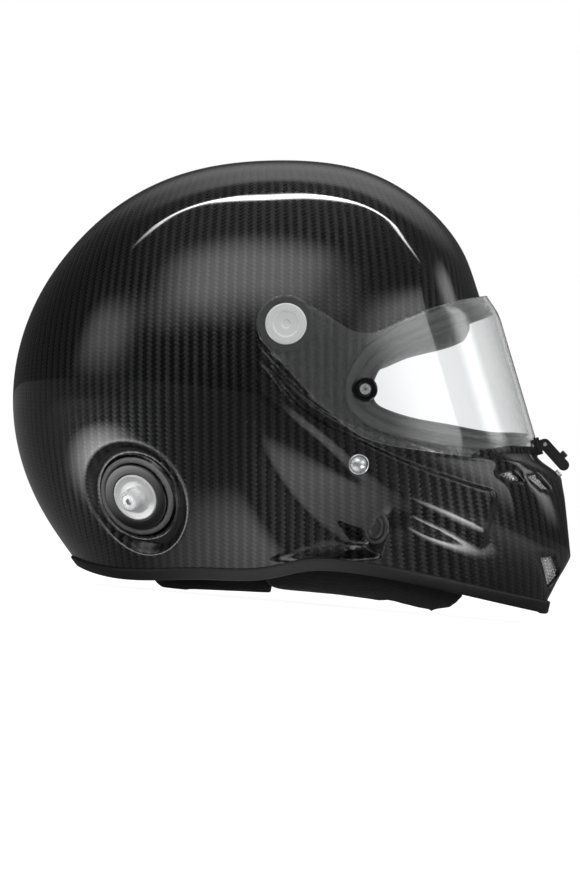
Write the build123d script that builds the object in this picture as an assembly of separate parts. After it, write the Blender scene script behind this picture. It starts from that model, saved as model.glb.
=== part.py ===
"""Full-face auto racing helmet with a hinged clear visor, in millimetres.

X runs forward, Y to the wearer's left, Z up. The helmet stands on its cheek pads and neck roll at Z = 0, and
the origin lies under the middle of its length and width. Side-view outlines are shares of the helmet's length
and height, counted from the visor pivot. Pieces are made for the wearer's right side, at -Y, and mirrored.
"""

import math
import os

from build123d import *

# Whole helmet
helmet_length = 360.4
helmet_height = 279.3
shell_width = 252.0
pivot_x = -12.2
pivot_z = 174.7
overrun = 300.0
skin_gap = 0.4
fit_gap = 0.1

# Carbon shell: each row is a side-view place and how full the cross-section is there
shell_wall = 4.0
crown_ridge = 1.6
core_share = (-0.028, -0.161)
dome_shares = (
    (0.334, 0.105, 2.50, 0.0),
    (0.303, 0.192, 2.50, 0.0),
    (0.258, 0.263, 2.45, 0.4),
    (0.194, 0.323, 2.40, 1.0),
    (0.123, 0.361, 2.40, 1.0),
    (0.042, 0.375, 2.40, 1.0),
    (-0.045, 0.370, 2.40, 1.0),
    (-0.133, 0.351, 2.35, 1.0),
    (-0.226, 0.309, 2.30, 1.0),
    (-0.311, 0.238, 2.30, 0.7),
    (-0.383, 0.138, 2.30, 0.3),
    (-0.436, 0.020, 2.30, 0.0),
    (-0.464, -0.107, 2.25, 0.0),
    (-0.466, -0.236, 2.20, 0.0),
    (-0.446, -0.348, 2.10, 0.0),
    (-0.393, -0.478, 2.05, 0.0),
    (-0.320, -0.591, 2.05, 0.0),
    (-0.208, -0.734, 2.10, 0.0),
    (-0.028, -0.841, 2.20, 0.0),
    (0.166, -0.859, 2.30, 0.0),
    (0.347, -0.806, 2.30, 0.0),
    (0.477, -0.687, 2.20, 0.0),
    (0.536, -0.555, 2.20, 0.0),
    (0.547, -0.437, 2.20, 0.0),
    (0.527, -0.337, 2.25, 0.0),
    (0.498, -0.280, 2.30, 0.0),
    (0.465, -0.253, 2.40, 0.0),
    (0.436, -0.193, 2.45, 0.0),
    (0.405, -0.097, 2.50, 0.0),
    (0.369, 0.011, 2.50, 0.0),
)
level_shares = (0.0, 0.25, 0.44, 0.56, 0.68, 0.80, 0.90, 0.96, 0.993)
ridge_level_share = 0.56
ridge_spread_share = 0.07
prow_shares = ((0.508, -0.304), (0.514, -0.333), (0.534, -0.467), (0.499, -0.569), (0.500, -0.627))
hem_shares = (
    (-0.375, -0.537),
    (-0.324, -0.573),
    (-0.272, -0.589),
    (-0.112, -0.575),
    (0.006, -0.560),
    (0.072, -0.535),
    (0.128, -0.529),
    (0.239, -0.538),
    (0.375, -0.561),
    (0.498, -0.583),
    (0.569, -0.594),
)

# Raised fairing on the cheek, and the rail that the visor's lower edge closes against
fairing_rise = 3.0
fairing_shares = (
    (0.072, -0.233),
    (0.148, -0.259),
    (0.293, -0.299),
    (0.377, -0.323),
    (0.387, -0.351),
    (0.383, -0.401),
    (0.327, -0.419),
    (0.255, -0.394),
    (0.166, -0.322),
)
rail_rise = 3.6
rail_width = 4.5
rail_shares = (
    (-0.050, -0.055),
    (-0.018, -0.088),
    (0.031, -0.143),
    (0.079, -0.193),
    (0.118, -0.229),
    (0.150, -0.250),
    (0.189, -0.261),
)

# Edge trim
trim_lip = 1.5
trim_depth = 6.6
trim_web = 2.2

# Eyeport gasket: outer and inner outlines of the rubber frame, and where the shell's edge lies between them
gasket_outer_shares = (
    (0.458, 0.154),
    (0.350, 0.102),
    (0.268, 0.058),
    (0.200, 0.014),
    (0.151, -0.030),
    (0.122, -0.082),
    (0.114, -0.136),
    (0.125, -0.177),
    (0.161, -0.211),
    (0.235, -0.233),
    (0.289, -0.240),
    (0.360, -0.243),
    (0.460, -0.243),
    (0.569, -0.236),
)
gasket_inner_shares = (
    (0.458, 0.107),
    (0.372, 0.061),
    (0.272, 0.006),
    (0.216, -0.029),
    (0.180, -0.068),
    (0.166, -0.100),
    (0.162, -0.131),
    (0.168, -0.156),
    (0.192, -0.172),
    (0.244, -0.186),
    (0.305, -0.193),
    (0.381, -0.202),
    (0.448, -0.199),
    (0.569, -0.193),
)
shell_edge_share = 0.45
fit_share = 0.01
gasket_lip = 5.0
seal_gap = 0.6
gasket_room_share = -0.04

# Visor shield: front profile, side-view edges and the ear round the pivot
visor_thickness = 3.0
visor_gap = 0.6
visor_depth = 110.0
visor_front_shares = ((0.340, 0.118), (0.372, 0.066), (0.456, -0.208), (0.461, -0.238), (0.463, -0.286))
visor_upper_shares = ((0.086, 0.017), (0.131, -0.005), (0.199, 0.030), (0.267, 0.074), (0.346, 0.107))
visor_lower_shares = ((0.463, -0.257), (0.348, -0.261), (0.237, -0.255), (0.151, -0.238), (0.082, -0.182))
ear_radius = 18.5
ear_top_angle = 48.0
ear_low_angle = 222.0

# Visor pivot: base on the shell, flanged disc screw outside the visor, nut inside the shell
pivot_seat_radius = 20.0
pivot_seat_depth = 1.5
pivot_base_radius = 17.0
pivot_disc_radius = 13.0
pivot_disc_thickness = 2.6
pivot_dish_radius = 7.9
pivot_dish_depth = 0.8
pivot_dimple_radius = 2.8
pivot_shank_radius = 4.0
running_gap = 0.05
nut_radius = 8.5
nut_thickness = 2.5

# Tear-off post on the visor
post_share = (0.146, -0.131)
post_washer_radius = 8.2
post_washer_thickness = 3.2
post_radius = 2.4
post_height = 4.8
post_head_radius = 3.4
post_head_thickness = 2.0
post_socket_radius = 1.3
post_socket_depth = 2.5

# Visor latch
latch_share = (0.459, -0.224)
latch_width = 16.0
latch_height = 11.0
latch_plate = 1.2
latch_ear_width = 2.4
latch_pin_radius = 1.25
latch_gap = 0.4
lever_length = 17.8
lever_thickness = 7.0
lever_angle = -43.0
knob_radius = 2.3
knob_height = 2.6
knob_share = 0.72
catch_share = (0.496, -0.281)
catch_radius = 2.4
catch_height = 1.5

# Head-restraint anchor
anchor_share = (-0.238, -0.422)
anchor_bowl_radius = 33.0
anchor_seat_radius = 24.5
anchor_seat_depth = 5.0
anchor_pad_wall = 5.0
anchor_washer_radius = 21.8
anchor_washer_thickness = 2.6
anchor_washer_web = 1.2
anchor_flange_radius = 15.0
anchor_flange_edge = 1.4
anchor_post_radius = 6.5
anchor_post_height = 10.5
anchor_neck_radius = 5.4
anchor_neck_height = 4.0
anchor_screw_radius = 3.0
anchor_head_radius = 4.6
anchor_head_depth = 4.2
anchor_head_sink = 0.5
anchor_hex_radius = 2.3
anchor_hex_depth = 2.4
anchor_nut_radius = 14.0
anchor_nut_thickness = 3.5

# Side port in its scooped pocket
port_share = (0.190, -0.438)
port_radius = 11.0
port_wall_depth = 8.0
pocket_angle = 45.0
pocket_height = 31.0
pocket_length = 56.0
pocket_wall = 4.0
port_ring_thickness = 2.0
port_ring_width = 3.0
bung_radius = 7.6
bung_head_thickness = 2.6
bung_dish_depth = 0.5
bung_stem_radius = 4.5
bung_stem_length = 7.0

# Vents
vent_share_sets = (
    ((0.393, -0.288), (0.419, -0.285), (0.436, -0.308), (0.413, -0.306)),
    ((0.444, -0.289), (0.458, -0.287), (0.485, -0.318), (0.465, -0.318)),
    ((0.483, -0.475), (0.497, -0.472), (0.507, -0.495), (0.507, -0.507), (0.498, -0.535), (0.490, -0.505)),
)
vent_cut_depth = 16.0
vent_mesh_lap = 2.0
vent_mesh_thickness = 1.0
vent_mesh_pitch = 2.6
vent_mesh_slot = 1.5

# Liners and pads
crown_foam = 34.0
chin_foam = 19.0
comfort_thickness = 8.0
pad_inset = 6.5
foam_rear_bottom_share = -0.5163
foam_cheek_top_share = -0.215
foam_cheek_rear_share = -0.075
foam_split_share = -0.090
comfort_bottom_share = -0.060
brow_room_share = 0.06
brow_shares = (
    (0.120, -0.090),
    (0.160, -0.089),
    (0.205, -0.056),
    (0.265, -0.026),
    (0.307, -0.003),
    (0.329, 0.024),
    (0.336, 0.070),
)
chin_foam_shares = ((0.345, -0.330), (0.470, -0.330), (0.470, -0.545), (0.385, -0.545))
cheek_shares = (
    (0.026, -0.262),
    (0.150, -0.262),
    (0.285, -0.270),
    (0.318, -0.300),
    (0.335, -0.400),
    (0.352, -0.500),
    (0.363, -0.590),
    (0.345, -0.616),
    (0.308, -0.6275),
    (0.245, -0.617),
    (0.190, -0.609),
    (0.120, -0.602),
    (0.060, -0.604),
    (0.030, -0.600),
    (0.020, -0.560),
    (0.018, -0.400),
)
cheek_inner_y = 70.0
cheek_crown = 12.0
cheek_scale_shares = (0.90, 0.97, 1, 1)
roll_radius = 71.0
roll_width = 27.0
roll_height = 30.0
roll_tilt = 3.5
roll_rear_share = -0.205
roll_end_share = 0.003

# Chin strap, its rivets and anchor plates, rings and snap
rivet_share = (0.148, -0.300)
rivet_head_radius = 6.4
rivet_head_height = 2.8
rivet_shank_radius = 2.5
rivet_tail_radius = 4.4
rivet_tail_thickness = 1.2
plate_width = 24.0
plate_height = 18.0
plate_thickness = 1.5
strap_width = 20.0
strap_thickness = 2.0
strap_slot_gap = 0.6
strap_inner_y = 86.0
strap_exit_y = 62.0
strap_exit_share = -0.500
strap_turn_y = 50.0
strap_bend = 8.0
ring_share = -0.568
strap_fold = 15.0
long_tail = 38.0
short_tail = 26.0
ring_wire = 3.0
ring_length = 21.0
ring_breadth = 30.0
ring_corner = 5.0
ring_centre_y = 10.0
ring_play = 2.2
ring_spacing = 0.2
snap_radius = 6.0
snap_thickness = 1.8

half_width = shell_width / 2
foam_inset = shell_wall + skin_gap
crown_inner = foam_inset + crown_foam


def spot(share_x, share_z):
    """Side-view place at shares of the helmet's length and height from the visor pivot."""
    return pivot_x + share_x * helmet_length, pivot_z + share_z * helmet_height


def side_plane(y):
    """Plane at one distance from the middle, drawn in with X across and Z up."""
    return Plane(origin=(0, y, 0), x_dir=(1, 0, 0), z_dir=(0, -1, 0))


def on_side(places, y=0):
    return [side_plane(y).from_local_coords(Vector(x, z, 0)) for x, z in places]


def smooth_face(places, y=0):
    """Face inside one closed smooth curve."""
    return Face(Wire([Spline(*on_side(places, y), periodic=True)]))


def straight_face(places, y=0):
    return Face(Wire.make_polygon(on_side(places, y), close=True))


def capped_face(curve_places, corner_places):
    """Face between a smooth open curve and straight lines through the corners back to its start."""
    curve = Spline(*on_side(curve_places))
    corners = on_side([curve_places[-1], *corner_places, curve_places[0]])
    lines = [Line(a, b) for a, b in zip(corners, corners[1:])]
    return Face(Wire([curve, *lines]))


def through(face):
    """Prism of a side-view face through the whole width."""
    return extrude(face, amount=overrun, dir=(0, 1, 0), both=True)


def shifted(places, dx, dz):
    return [(x + dx, z + dz) for x, z in places]


def spots(shares):
    return [spot(*share[:2]) for share in shares]


def mirrored(solid):
    """The same piece on the other side."""
    return mirror(solid, about=Plane.XZ)


core_x, core_z = spot(*core_share)


def dome_outline(level, inset):
    """Side-view outline of the shell at one share of its half width."""
    swell = math.exp(-(((level - ridge_level_share) / ridge_spread_share) ** 2))
    places = []
    for share_x, share_z, fullness, ridge in dome_shares:
        x, z = spot(share_x, share_z)
        away = math.hypot(x - core_x, z - core_z)
        reach = (away - inset) * (1 - level**fullness) ** (1 / fullness) + crown_ridge * ridge * swell
        places.append((core_x + (x - core_x) * reach / away, core_z + (z - core_z) * reach / away))
    return places


def dome(inset):
    """Closed solid inside the shell's outer surface moved inward by the inset."""
    sections = []
    for level in [-share for share in level_shares[:0:-1]] + list(level_shares):
        y = level * (half_width - inset)
        sections.append(smooth_face(dome_outline(abs(level), inset), y))
    return loft(sections)


def prow_cut(inset):
    """Everything ahead of the flat facets at the front of the chin."""
    line = shifted(spots(prow_shares), -inset, 0)
    ahead = line[0][0] + overrun
    top = (line[0][0], line[0][1] + shell_wall)
    low = (line[-1][0], line[-1][1] - overrun)
    return through(straight_face([top, *line, low, (ahead, low[1]), (ahead, top[1])]))


def below_hem(drop):
    """Everything below the shell's lower edge line moved down by the drop."""
    line = shifted(spots(hem_shares), 0, -drop)
    floor = line[0][1] - overrun
    return through(capped_face(line, [(line[-1][0], floor), (line[0][0], floor)]))


def eyeport(share):
    """Prism inside the gasket's outer outline at share 0 and its inner outline at share 1."""
    places = []
    for outer, inner in zip(gasket_outer_shares, gasket_inner_shares):
        (x0, z0), (x1, z1) = spot(*outer), spot(*inner)
        places.append((x0 + share * (x1 - x0), z0 + share * (z1 - z0)))
    return through(capped_face(places, []))


def surface_at(solid, x, z):
    """Point and outward direction where the right-hand side of a solid lies at a side-view place."""
    hits = solid.find_intersection_points(Axis((x, -overrun, z), (0, 1, 0)))
    point, normal = min(hits, key=lambda hit: hit[0].Y)
    return point, normal if normal.Y < 0 else -normal


def seat_plane(point, outward):
    """Plane on a seat whose Z points outward and whose X runs forward."""
    across = Vector(1, 0, 0) - outward * outward.X
    return Plane(origin=point, x_dir=across, z_dir=outward)


def turned(plane, rings):
    """Solid of revolution on a seat, from a closed outline of radius and height pairs."""
    profile = Face(Wire.make_polygon([Vector(r, 0, h) for r, h in rings], close=True))
    return plane * revolve(profile, Axis.Z)


def drum(plane, radius, low, high):
    """Round solid on a seat between two heights."""
    return turned(plane, [(0, low), (radius, low), (radius, high), (0, high)])


# Shapes that several pieces are cut from

outer_dome = dome(0)
wall_dome = dome(shell_wall)
foam_dome = dome(foam_inset)
crown_inner_dome = dome(crown_inner)


def visor_body(inset):
    """Solid filling the space behind the visor's outer surface moved inward by the inset."""
    back = pivot_x - visor_depth / 2
    breadth = half_width + visor_gap + visor_thickness - inset
    sections = []
    for share in visor_front_shares:
        nose, z = spot(*share)
        middle = nose - visor_depth
        curve = EllipticalCenterArc((middle, 0, z), visor_depth - inset, breadth, -90, arc_size=180)
        corners = [curve @ 1, Vector(back, breadth, z), Vector(back, -breadth, z), curve @ 0]
        sections.append(Face(Wire([curve, *[Line(a, b) for a, b in zip(corners, corners[1:])]])))
    return loft(sections, ruled=True)


def visor_outline():
    """Side view of the visor: the arm and window, joined to a round ear at the pivot."""
    ear_top, ear_low = (
        (pivot_x + ear_radius * math.cos(turn), pivot_z + ear_radius * math.sin(turn))
        for turn in (math.radians(ear_top_angle), math.radians(ear_low_angle))
    )
    upper = [ear_top, *spots(visor_upper_shares)]
    lower = [*spots(visor_lower_shares), ear_low]
    ahead = lower[0][0] + visor_depth
    edges = [
        Spline(*on_side(upper)),
        Polyline(*on_side([upper[-1], (ahead, upper[-1][1]), (ahead, lower[0][1]), lower[0]])),
        Spline(*on_side(lower)),
        Line(*on_side([ear_low, ear_top])),
    ]
    window = through(Face(Wire([edge for piece in edges for edge in piece.edges()])))
    ear = drum(side_plane(0), ear_radius, -overrun, overrun)
    return Pos(pivot_x, 0, pivot_z) * ear + window


visor_inner_body = visor_body(visor_thickness)
visor_face_y = -(half_width + visor_gap + visor_thickness)
pivot_plane = Plane(origin=(pivot_x, visor_face_y, pivot_z), x_dir=(1, 0, 0), z_dir=(0, -1, 0))


# Head-restraint anchor and side port places on the shell

anchor_point, anchor_out = surface_at(outer_dome, *spot(*anchor_share))
anchor_plane = seat_plane(anchor_point - anchor_out * anchor_seat_depth, anchor_out)
port_point, _ = surface_at(outer_dome, *spot(*port_share))
port_out = Vector(-math.sin(math.radians(pocket_angle)), -math.cos(math.radians(pocket_angle)), 0)
port_plane = seat_plane(port_point + Vector(0, port_wall_depth, 0), port_out)
rivet_x, rivet_z = spot(*rivet_share)
rivet_point, rivet_out = surface_at(dome(-fairing_rise), rivet_x, rivet_z)
rivet_plane = seat_plane(rivet_point, rivet_out)
rivet_bore = Plane(origin=rivet_point, x_dir=(1, 0, 0), z_dir=(0, -1, 0))
seat_y = half_width - pivot_seat_depth
seat_face = Plane(origin=(pivot_x, -seat_y, pivot_z), x_dir=(1, 0, 0), z_dir=(0, -1, 0))


def pocket(wall):
    """Wedge cut into the cheek ahead of which the port wall stands, grown by a wall all round."""
    lean = math.radians(pocket_angle)
    half_face = port_radius + port_ring_width + wall
    x, y = port_plane.origin.X, port_plane.origin.Y
    along = Vector(math.cos(lean), -math.sin(lean), 0)
    inward = Vector(math.sin(lean), math.cos(lean), 0) * wall
    root = Vector(x, y, 0) - along * half_face + inward
    mouth = Vector(x, y, 0) + along * (half_face + pocket_length) + inward
    tail = Vector(root.X - pocket_length - wall, port_point.Y, 0)
    outside = Vector(tail.X, mouth.Y, 0)
    height = pocket_height + wall * 2
    profile = Face(Wire.make_polygon([root, mouth, outside, tail], close=True))
    wedge = Pos(0, 0, port_plane.origin.Z - height / 2) * extrude(profile, amount=height, dir=(0, 0, 1))
    return wedge


def make_outer_shell():
    """Moulded shell with its fairing, rail, pocket, dished anchor seat and openings."""
    fairing = dome(-fairing_rise) & through(smooth_face(spots(fairing_shares)))
    line = spots(rail_shares)
    rail_low = shifted(line, -rail_width, -rail_width)
    rail_edges = [Spline(*on_side(line)), Spline(*on_side(rail_low))]
    rail_edges += [Line(*on_side([line[0], rail_low[0]])), Line(*on_side([line[-1], rail_low[-1]]))]
    rail = dome(-rail_rise) & through(Face(Wire([edge for piece in rail_edges for edge in piece.edges()])))
    moulded = outer_dome + fairing + rail
    moulded -= prow_cut(0)
    shell = moulded - (wall_dome - prow_cut(shell_wall))
    anchor_pad = drum(anchor_plane, anchor_seat_radius + anchor_pad_wall, -anchor_pad_wall, overrun)
    port_pad = pocket(pocket_wall)
    rise = anchor_seat_depth + shell_wall
    rim = [(anchor_bowl_radius, rise), (anchor_bowl_radius, overrun), (0, overrun)]
    bowl = turned(anchor_plane, [(0, 0), (anchor_seat_radius, 0), *rim])
    scoop = pocket(0)
    for flip in (lambda solid: solid, mirrored):
        shell += outer_dome & flip(anchor_pad + port_pad)
        shell -= flip(bowl + scoop)
        shell -= flip(drum(anchor_plane, anchor_screw_radius, -overrun, overrun))
        shell -= flip(drum(port_plane, bung_stem_radius, -bung_stem_length - pocket_wall, port_radius))
        shell -= flip(drum(rivet_bore, rivet_shank_radius, -half_width / 2, overrun))
        shell -= flip(drum(pivot_plane, pivot_shank_radius, -half_width / 2, 0))
        shell -= flip(drum(seat_face, pivot_seat_radius, 0, overrun))
        for vent in vent_share_sets:
            shell -= flip(vent_prism(vent))
    shell -= eyeport(shell_edge_share)
    shell -= below_hem(trim_depth - trim_web)
    return shell


def vent_prism(shares):
    """Right-hand prism through the shell at one vent."""
    places = spots(shares)
    x = sum(place[0] for place in places) / len(places)
    z = sum(place[1] for place in places) / len(places)
    point, _ = surface_at(outer_dome, x, z)
    face = straight_face(places, point.Y - vent_cut_depth)
    return extrude(face, amount=vent_cut_depth * 2, dir=(0, 1, 0))


def make_edge_trim():
    """Rubber channel pushed over the shell's lower edge."""
    band = below_hem(0) - below_hem(trim_depth)

    def skin(inset):
        return (dome(inset) - prow_cut(inset)) & band

    groove = (skin(-fit_gap) - skin(shell_wall + fit_gap)) - below_hem(trim_depth - trim_web + fit_gap)
    return skin(-trim_lip) - skin(shell_wall + trim_lip) - groove


def make_gasket():
    """Rubber frame that grips the eyeport's edge and meets the inside of the visor."""
    frame = (eyeport(0) - eyeport(1)) & visor_body(visor_thickness + seal_gap)
    edge = (dome(-fit_gap) - dome(shell_wall + fit_gap)) - eyeport(shell_edge_share + fit_share)
    return (frame - dome(shell_wall + gasket_lip)) - edge


def make_visor():
    """Clear shield with its pivot holes and the holes for the tear-off posts."""
    visor = (visor_body(0) - visor_inner_body) & visor_outline()
    holes = drum(pivot_plane, pivot_shank_radius + running_gap, -visor_thickness * 2, visor_thickness)
    holes += drum(post_plane, post_radius, -visor_thickness * 2, visor_thickness)
    return visor - holes - mirrored(holes) - dome(-skin_gap)


post_point, post_out = surface_at(visor_body(0), *spot(*post_share))
post_plane = seat_plane(post_point, post_out)


def make_pivot_base():
    """Bearing disc between the shell's flat seat and the visor's ear."""
    top = pivot_seat_depth + visor_gap - skin_gap
    edge = [(radius, 0) for radius in (pivot_shank_radius, pivot_base_radius)]
    edge += [(radius, top) for radius in (pivot_base_radius, pivot_shank_radius)]
    return turned(seat_face, edge)


def make_pivot_disc():
    """Aluminium flanged screw that the visor's ear turns on."""
    low = skin_gap
    high = low + pivot_disc_thickness
    floor = high - pivot_dish_depth
    tip = -(pivot_disc_thickness + shell_wall * 2 + nut_thickness + visor_thickness)
    bevel = pivot_dish_depth / 2
    edge = [
        (0, tip),
        (pivot_shank_radius, tip),
        (pivot_shank_radius, low),
        (pivot_disc_radius, low),
        (pivot_disc_radius, high - bevel),
        (pivot_disc_radius - bevel, high),
        (pivot_dish_radius, high),
        (pivot_dish_radius - bevel, floor),
        (pivot_dimple_radius, floor),
        (0, floor - pivot_dish_depth),
    ]
    return turned(pivot_plane, edge)


wall_at_pivot, _ = surface_at(wall_dome, pivot_x, pivot_z)
nut_depth = abs(visor_face_y) - abs(wall_at_pivot.Y)


def make_pivot_nut():
    """Nut inside the shell, shaped to the wall behind it."""
    nut = drum(pivot_plane, nut_radius, -nut_depth - nut_thickness, 0) & dome(shell_wall + fit_gap)
    return nut - drum(pivot_plane, pivot_shank_radius, -half_width / 2, 0)


def make_post_washer():
    washer = drum(post_plane, post_washer_radius, -visor_thickness / 2, post_washer_thickness)
    washer -= drum(post_plane, post_radius, -visor_thickness, post_washer_thickness)
    return washer - visor_body(-fit_gap)


def make_tear_off_post():
    """Headed stud with a hexagon hole, screwed into the visor."""
    neck = post_washer_thickness + post_height - post_head_thickness
    top = post_washer_thickness + post_height
    edge = [
        (0, -visor_thickness / 2),
        (post_radius, -visor_thickness / 2),
        (post_radius, neck),
        (post_head_radius, neck),
        (post_head_radius, top),
        (0, top),
    ]
    hexagon = extrude(RegularPolygon(post_socket_radius, 6), amount=-post_socket_depth)
    return turned(post_plane, edge) - post_plane * Pos(0, 0, top) * hexagon


# Visor latch: a plate with two ears on the visor, a pinned lever with its knob, and a catch on the chin

latch_nose, latch_z = spot(*latch_share)
front_top, front_low = spot(*visor_front_shares[1]), spot(*visor_front_shares[2])
front_lean = math.atan2(front_low[0] - front_top[0], front_top[1] - front_low[1])
latch_plane = Plane(
    origin=(latch_nose, 0, latch_z),
    x_dir=(0, 1, 0),
    z_dir=(math.cos(front_lean), 0, math.sin(front_lean)),
)
pin_height = latch_plate + latch_gap + lever_thickness / 2
pin_centre = latch_plane.from_local_coords(Vector(0, 0, pin_height))
lever_width = latch_width - (latch_ear_width + latch_gap) * 2
lean_angle = math.radians(lever_angle)
lever_along = Vector(math.cos(lean_angle), 0, math.sin(lean_angle))
lever_up = Vector(-math.sin(lean_angle), 0, math.cos(lean_angle))


def across(centre, radius, width):
    """Round bar along Y."""
    plane = Plane(origin=centre - Vector(0, width / 2, 0), x_dir=(1, 0, 0), z_dir=(0, 1, 0))
    return drum(plane, radius, 0, width)


def make_latch_base():
    """Plate on the visor with two ears for the pin."""
    plate = latch_plane * Pos(0, 0, latch_plate / 2) * Box(latch_width, latch_height, latch_plate * 3)
    ears = latch_plane * Pos(0, 0, pin_height / 2) * Box(latch_width, lever_thickness, pin_height)
    ears += across(pin_centre, lever_thickness / 2, latch_width)
    base = plate + ears - visor_body(-fit_gap)
    front = latch_plane * Pos(0, 0, latch_plate + overrun / 2)
    base -= front * Box(lever_width + latch_gap * 2, overrun, overrun)
    return base - across(pin_centre, latch_pin_radius, overrun)


def make_latch_lever():
    """Lever that lies over the chin and swings out on its pin."""
    end = pin_centre + lever_along * lever_length
    half = lever_up * (lever_thickness / 2)
    places = [pin_centre + half, end + half, end - half, pin_centre - half]
    side = Face(Wire.make_polygon([place - Vector(0, lever_width / 2, 0) for place in places], close=True))
    lever = extrude(side, amount=lever_width, dir=(0, 1, 0))
    for place in (pin_centre, end):
        lever += across(place, lever_thickness / 2, lever_width)
    lever -= across(pin_centre, latch_pin_radius + running_gap, overrun)
    return lever - drum(knob_plane, knob_radius / 2, -lever_thickness / 2, lever_thickness)


knob_plane = Plane(
    origin=pin_centre + lever_along * (lever_length * knob_share) + lever_up * (lever_thickness / 2),
    x_dir=(0, 1, 0),
    z_dir=tuple(lever_up),
)


def make_latch_knob():
    """Round pull knob with its stem in the lever."""
    stem = drum(knob_plane, knob_radius / 2, -lever_thickness / 2, knob_height / 2)
    return stem + fillet(drum(knob_plane, knob_radius, 0, knob_height).edges(), knob_height / 4)


def make_latch_catch():
    """Stud on the chin that the closed lever rests over."""
    x, z = spot(*catch_share)
    outward = Vector(x - core_x, 0, z - core_z).normalized()
    hits = outer_dome.find_intersection_points(Axis(Vector(core_x, 0, core_z), outward))
    point = max((hit[0] for hit in hits), key=lambda place: place.X)
    plane = Plane(origin=point, x_dir=(0, 1, 0), z_dir=tuple(lever_up))
    stud = drum(plane, catch_radius, -shell_wall, catch_height)
    return stud - outer_dome


# Head-restraint anchor


def make_anchor_washer():
    edge = [
        (anchor_screw_radius, 0),
        (anchor_washer_radius, 0),
        (anchor_washer_radius, anchor_washer_thickness),
        (anchor_flange_radius + running_gap, anchor_washer_thickness),
        (anchor_flange_radius + running_gap, anchor_washer_web),
        (anchor_screw_radius, anchor_washer_web),
    ]
    return turned(anchor_plane, edge)


def make_anchor_post():
    """Dished flange and headed post that the restraint's clip slides on."""
    low = anchor_washer_web
    rim = low + anchor_flange_edge * 1.5
    top = low + anchor_post_height
    neck = low + anchor_flange_edge + anchor_neck_height
    head = top - anchor_head_depth
    edge = [
        (anchor_screw_radius, low),
        (anchor_flange_radius, low),
        (anchor_flange_radius, rim),
        (anchor_flange_radius - anchor_flange_edge, rim),
        (anchor_neck_radius + anchor_flange_edge, low + anchor_flange_edge),
        (anchor_neck_radius, low + anchor_flange_edge * 1.5),
        (anchor_neck_radius, neck),
        (anchor_post_radius, neck + anchor_post_radius - anchor_neck_radius),
        (anchor_post_radius, top - anchor_flange_edge / 2),
        (anchor_post_radius - anchor_flange_edge / 2, top),
        (anchor_head_radius, top),
        (anchor_head_radius, head),
        (anchor_screw_radius, head),
    ]
    return turned(anchor_plane, edge)


def make_anchor_screw():
    """Socket screw through the post and the shell."""
    top = anchor_washer_web + anchor_post_height
    head = top - anchor_head_depth
    tip = -(anchor_pad_wall + anchor_nut_thickness)
    edge = [
        (0, tip),
        (anchor_screw_radius, tip),
        (anchor_screw_radius, head),
        (anchor_head_radius, head),
        (anchor_head_radius, top - anchor_head_sink),
        (0, top - anchor_head_sink),
    ]
    socket = extrude(RegularPolygon(anchor_hex_radius, 6), amount=-anchor_hex_depth)
    return turned(anchor_plane, edge) - anchor_plane * Pos(0, 0, top) * socket


def make_anchor_nut():
    low, high = -(anchor_pad_wall + anchor_nut_thickness), -anchor_pad_wall
    edge = [(radius, low) for radius in (anchor_screw_radius, anchor_nut_radius)]
    edge += [(radius, high) for radius in (anchor_nut_radius, anchor_screw_radius)]
    return turned(anchor_plane, edge)


# Side port


def make_port_ring():
    inner = bung_radius + running_gap
    edge = [(inner, 0), (port_radius, 0), (port_radius, port_ring_thickness), (inner, port_ring_thickness)]
    return turned(port_plane, edge)


def make_port_bung():
    """Rubber plug with a stem through the port wall."""
    edge = [
        (0, -bung_stem_length),
        (bung_stem_radius, -bung_stem_length),
        (bung_stem_radius, 0),
        (bung_radius, 0),
        (bung_radius, bung_head_thickness),
        (bung_stem_radius, bung_head_thickness),
        (bung_stem_radius / 2, bung_head_thickness - bung_dish_depth),
        (0, bung_head_thickness - bung_dish_depth),
    ]
    return turned(port_plane, edge)


def make_vent_mesh(shares):
    """Slotted plate behind one vent, following the inside of the shell."""
    places = spots(shares)
    middle = (sum(x for x, _ in places) / len(places), sum(z for _, z in places) / len(places))
    point, _ = surface_at(outer_dome, *middle)
    low = point.Y - vent_cut_depth
    face = straight_face(places, low)
    block = extrude(offset(face, vent_mesh_lap), amount=vent_cut_depth * 2, dir=(0, 1, 0))
    outside, inside = shell_wall + fit_gap, shell_wall + fit_gap + vent_mesh_thickness
    plate = (block & dome(outside)) - prow_cut(outside)
    plate -= dome(inside) - prow_cut(inside)
    left, right = min(x for x, _ in places), max(x for x, _ in places)
    bottom, top = min(z for _, z in places), max(z for _, z in places)
    opening = extrude(offset(face, -vent_mesh_thickness / 2), amount=vent_cut_depth * 2, dir=(0, 1, 0))
    rows = int((top - bottom) / vent_mesh_pitch)
    for row in range(rows):
        z = bottom + (row * 2 + 1) * (top - bottom) / (rows * 2)
        slot = Pos((left + right) / 2, point.Y, z) * Box(right - left, vent_cut_depth * 2, vent_mesh_slot)
        plate -= slot & opening
    return plate


# Liners


def below(x, z):
    """Everything lower than one height and ahead of one place."""
    ahead, under = x + overrun * 2, z - overrun
    return through(straight_face([(x, z), (ahead, z), (ahead, under), (x, under)]))


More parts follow.
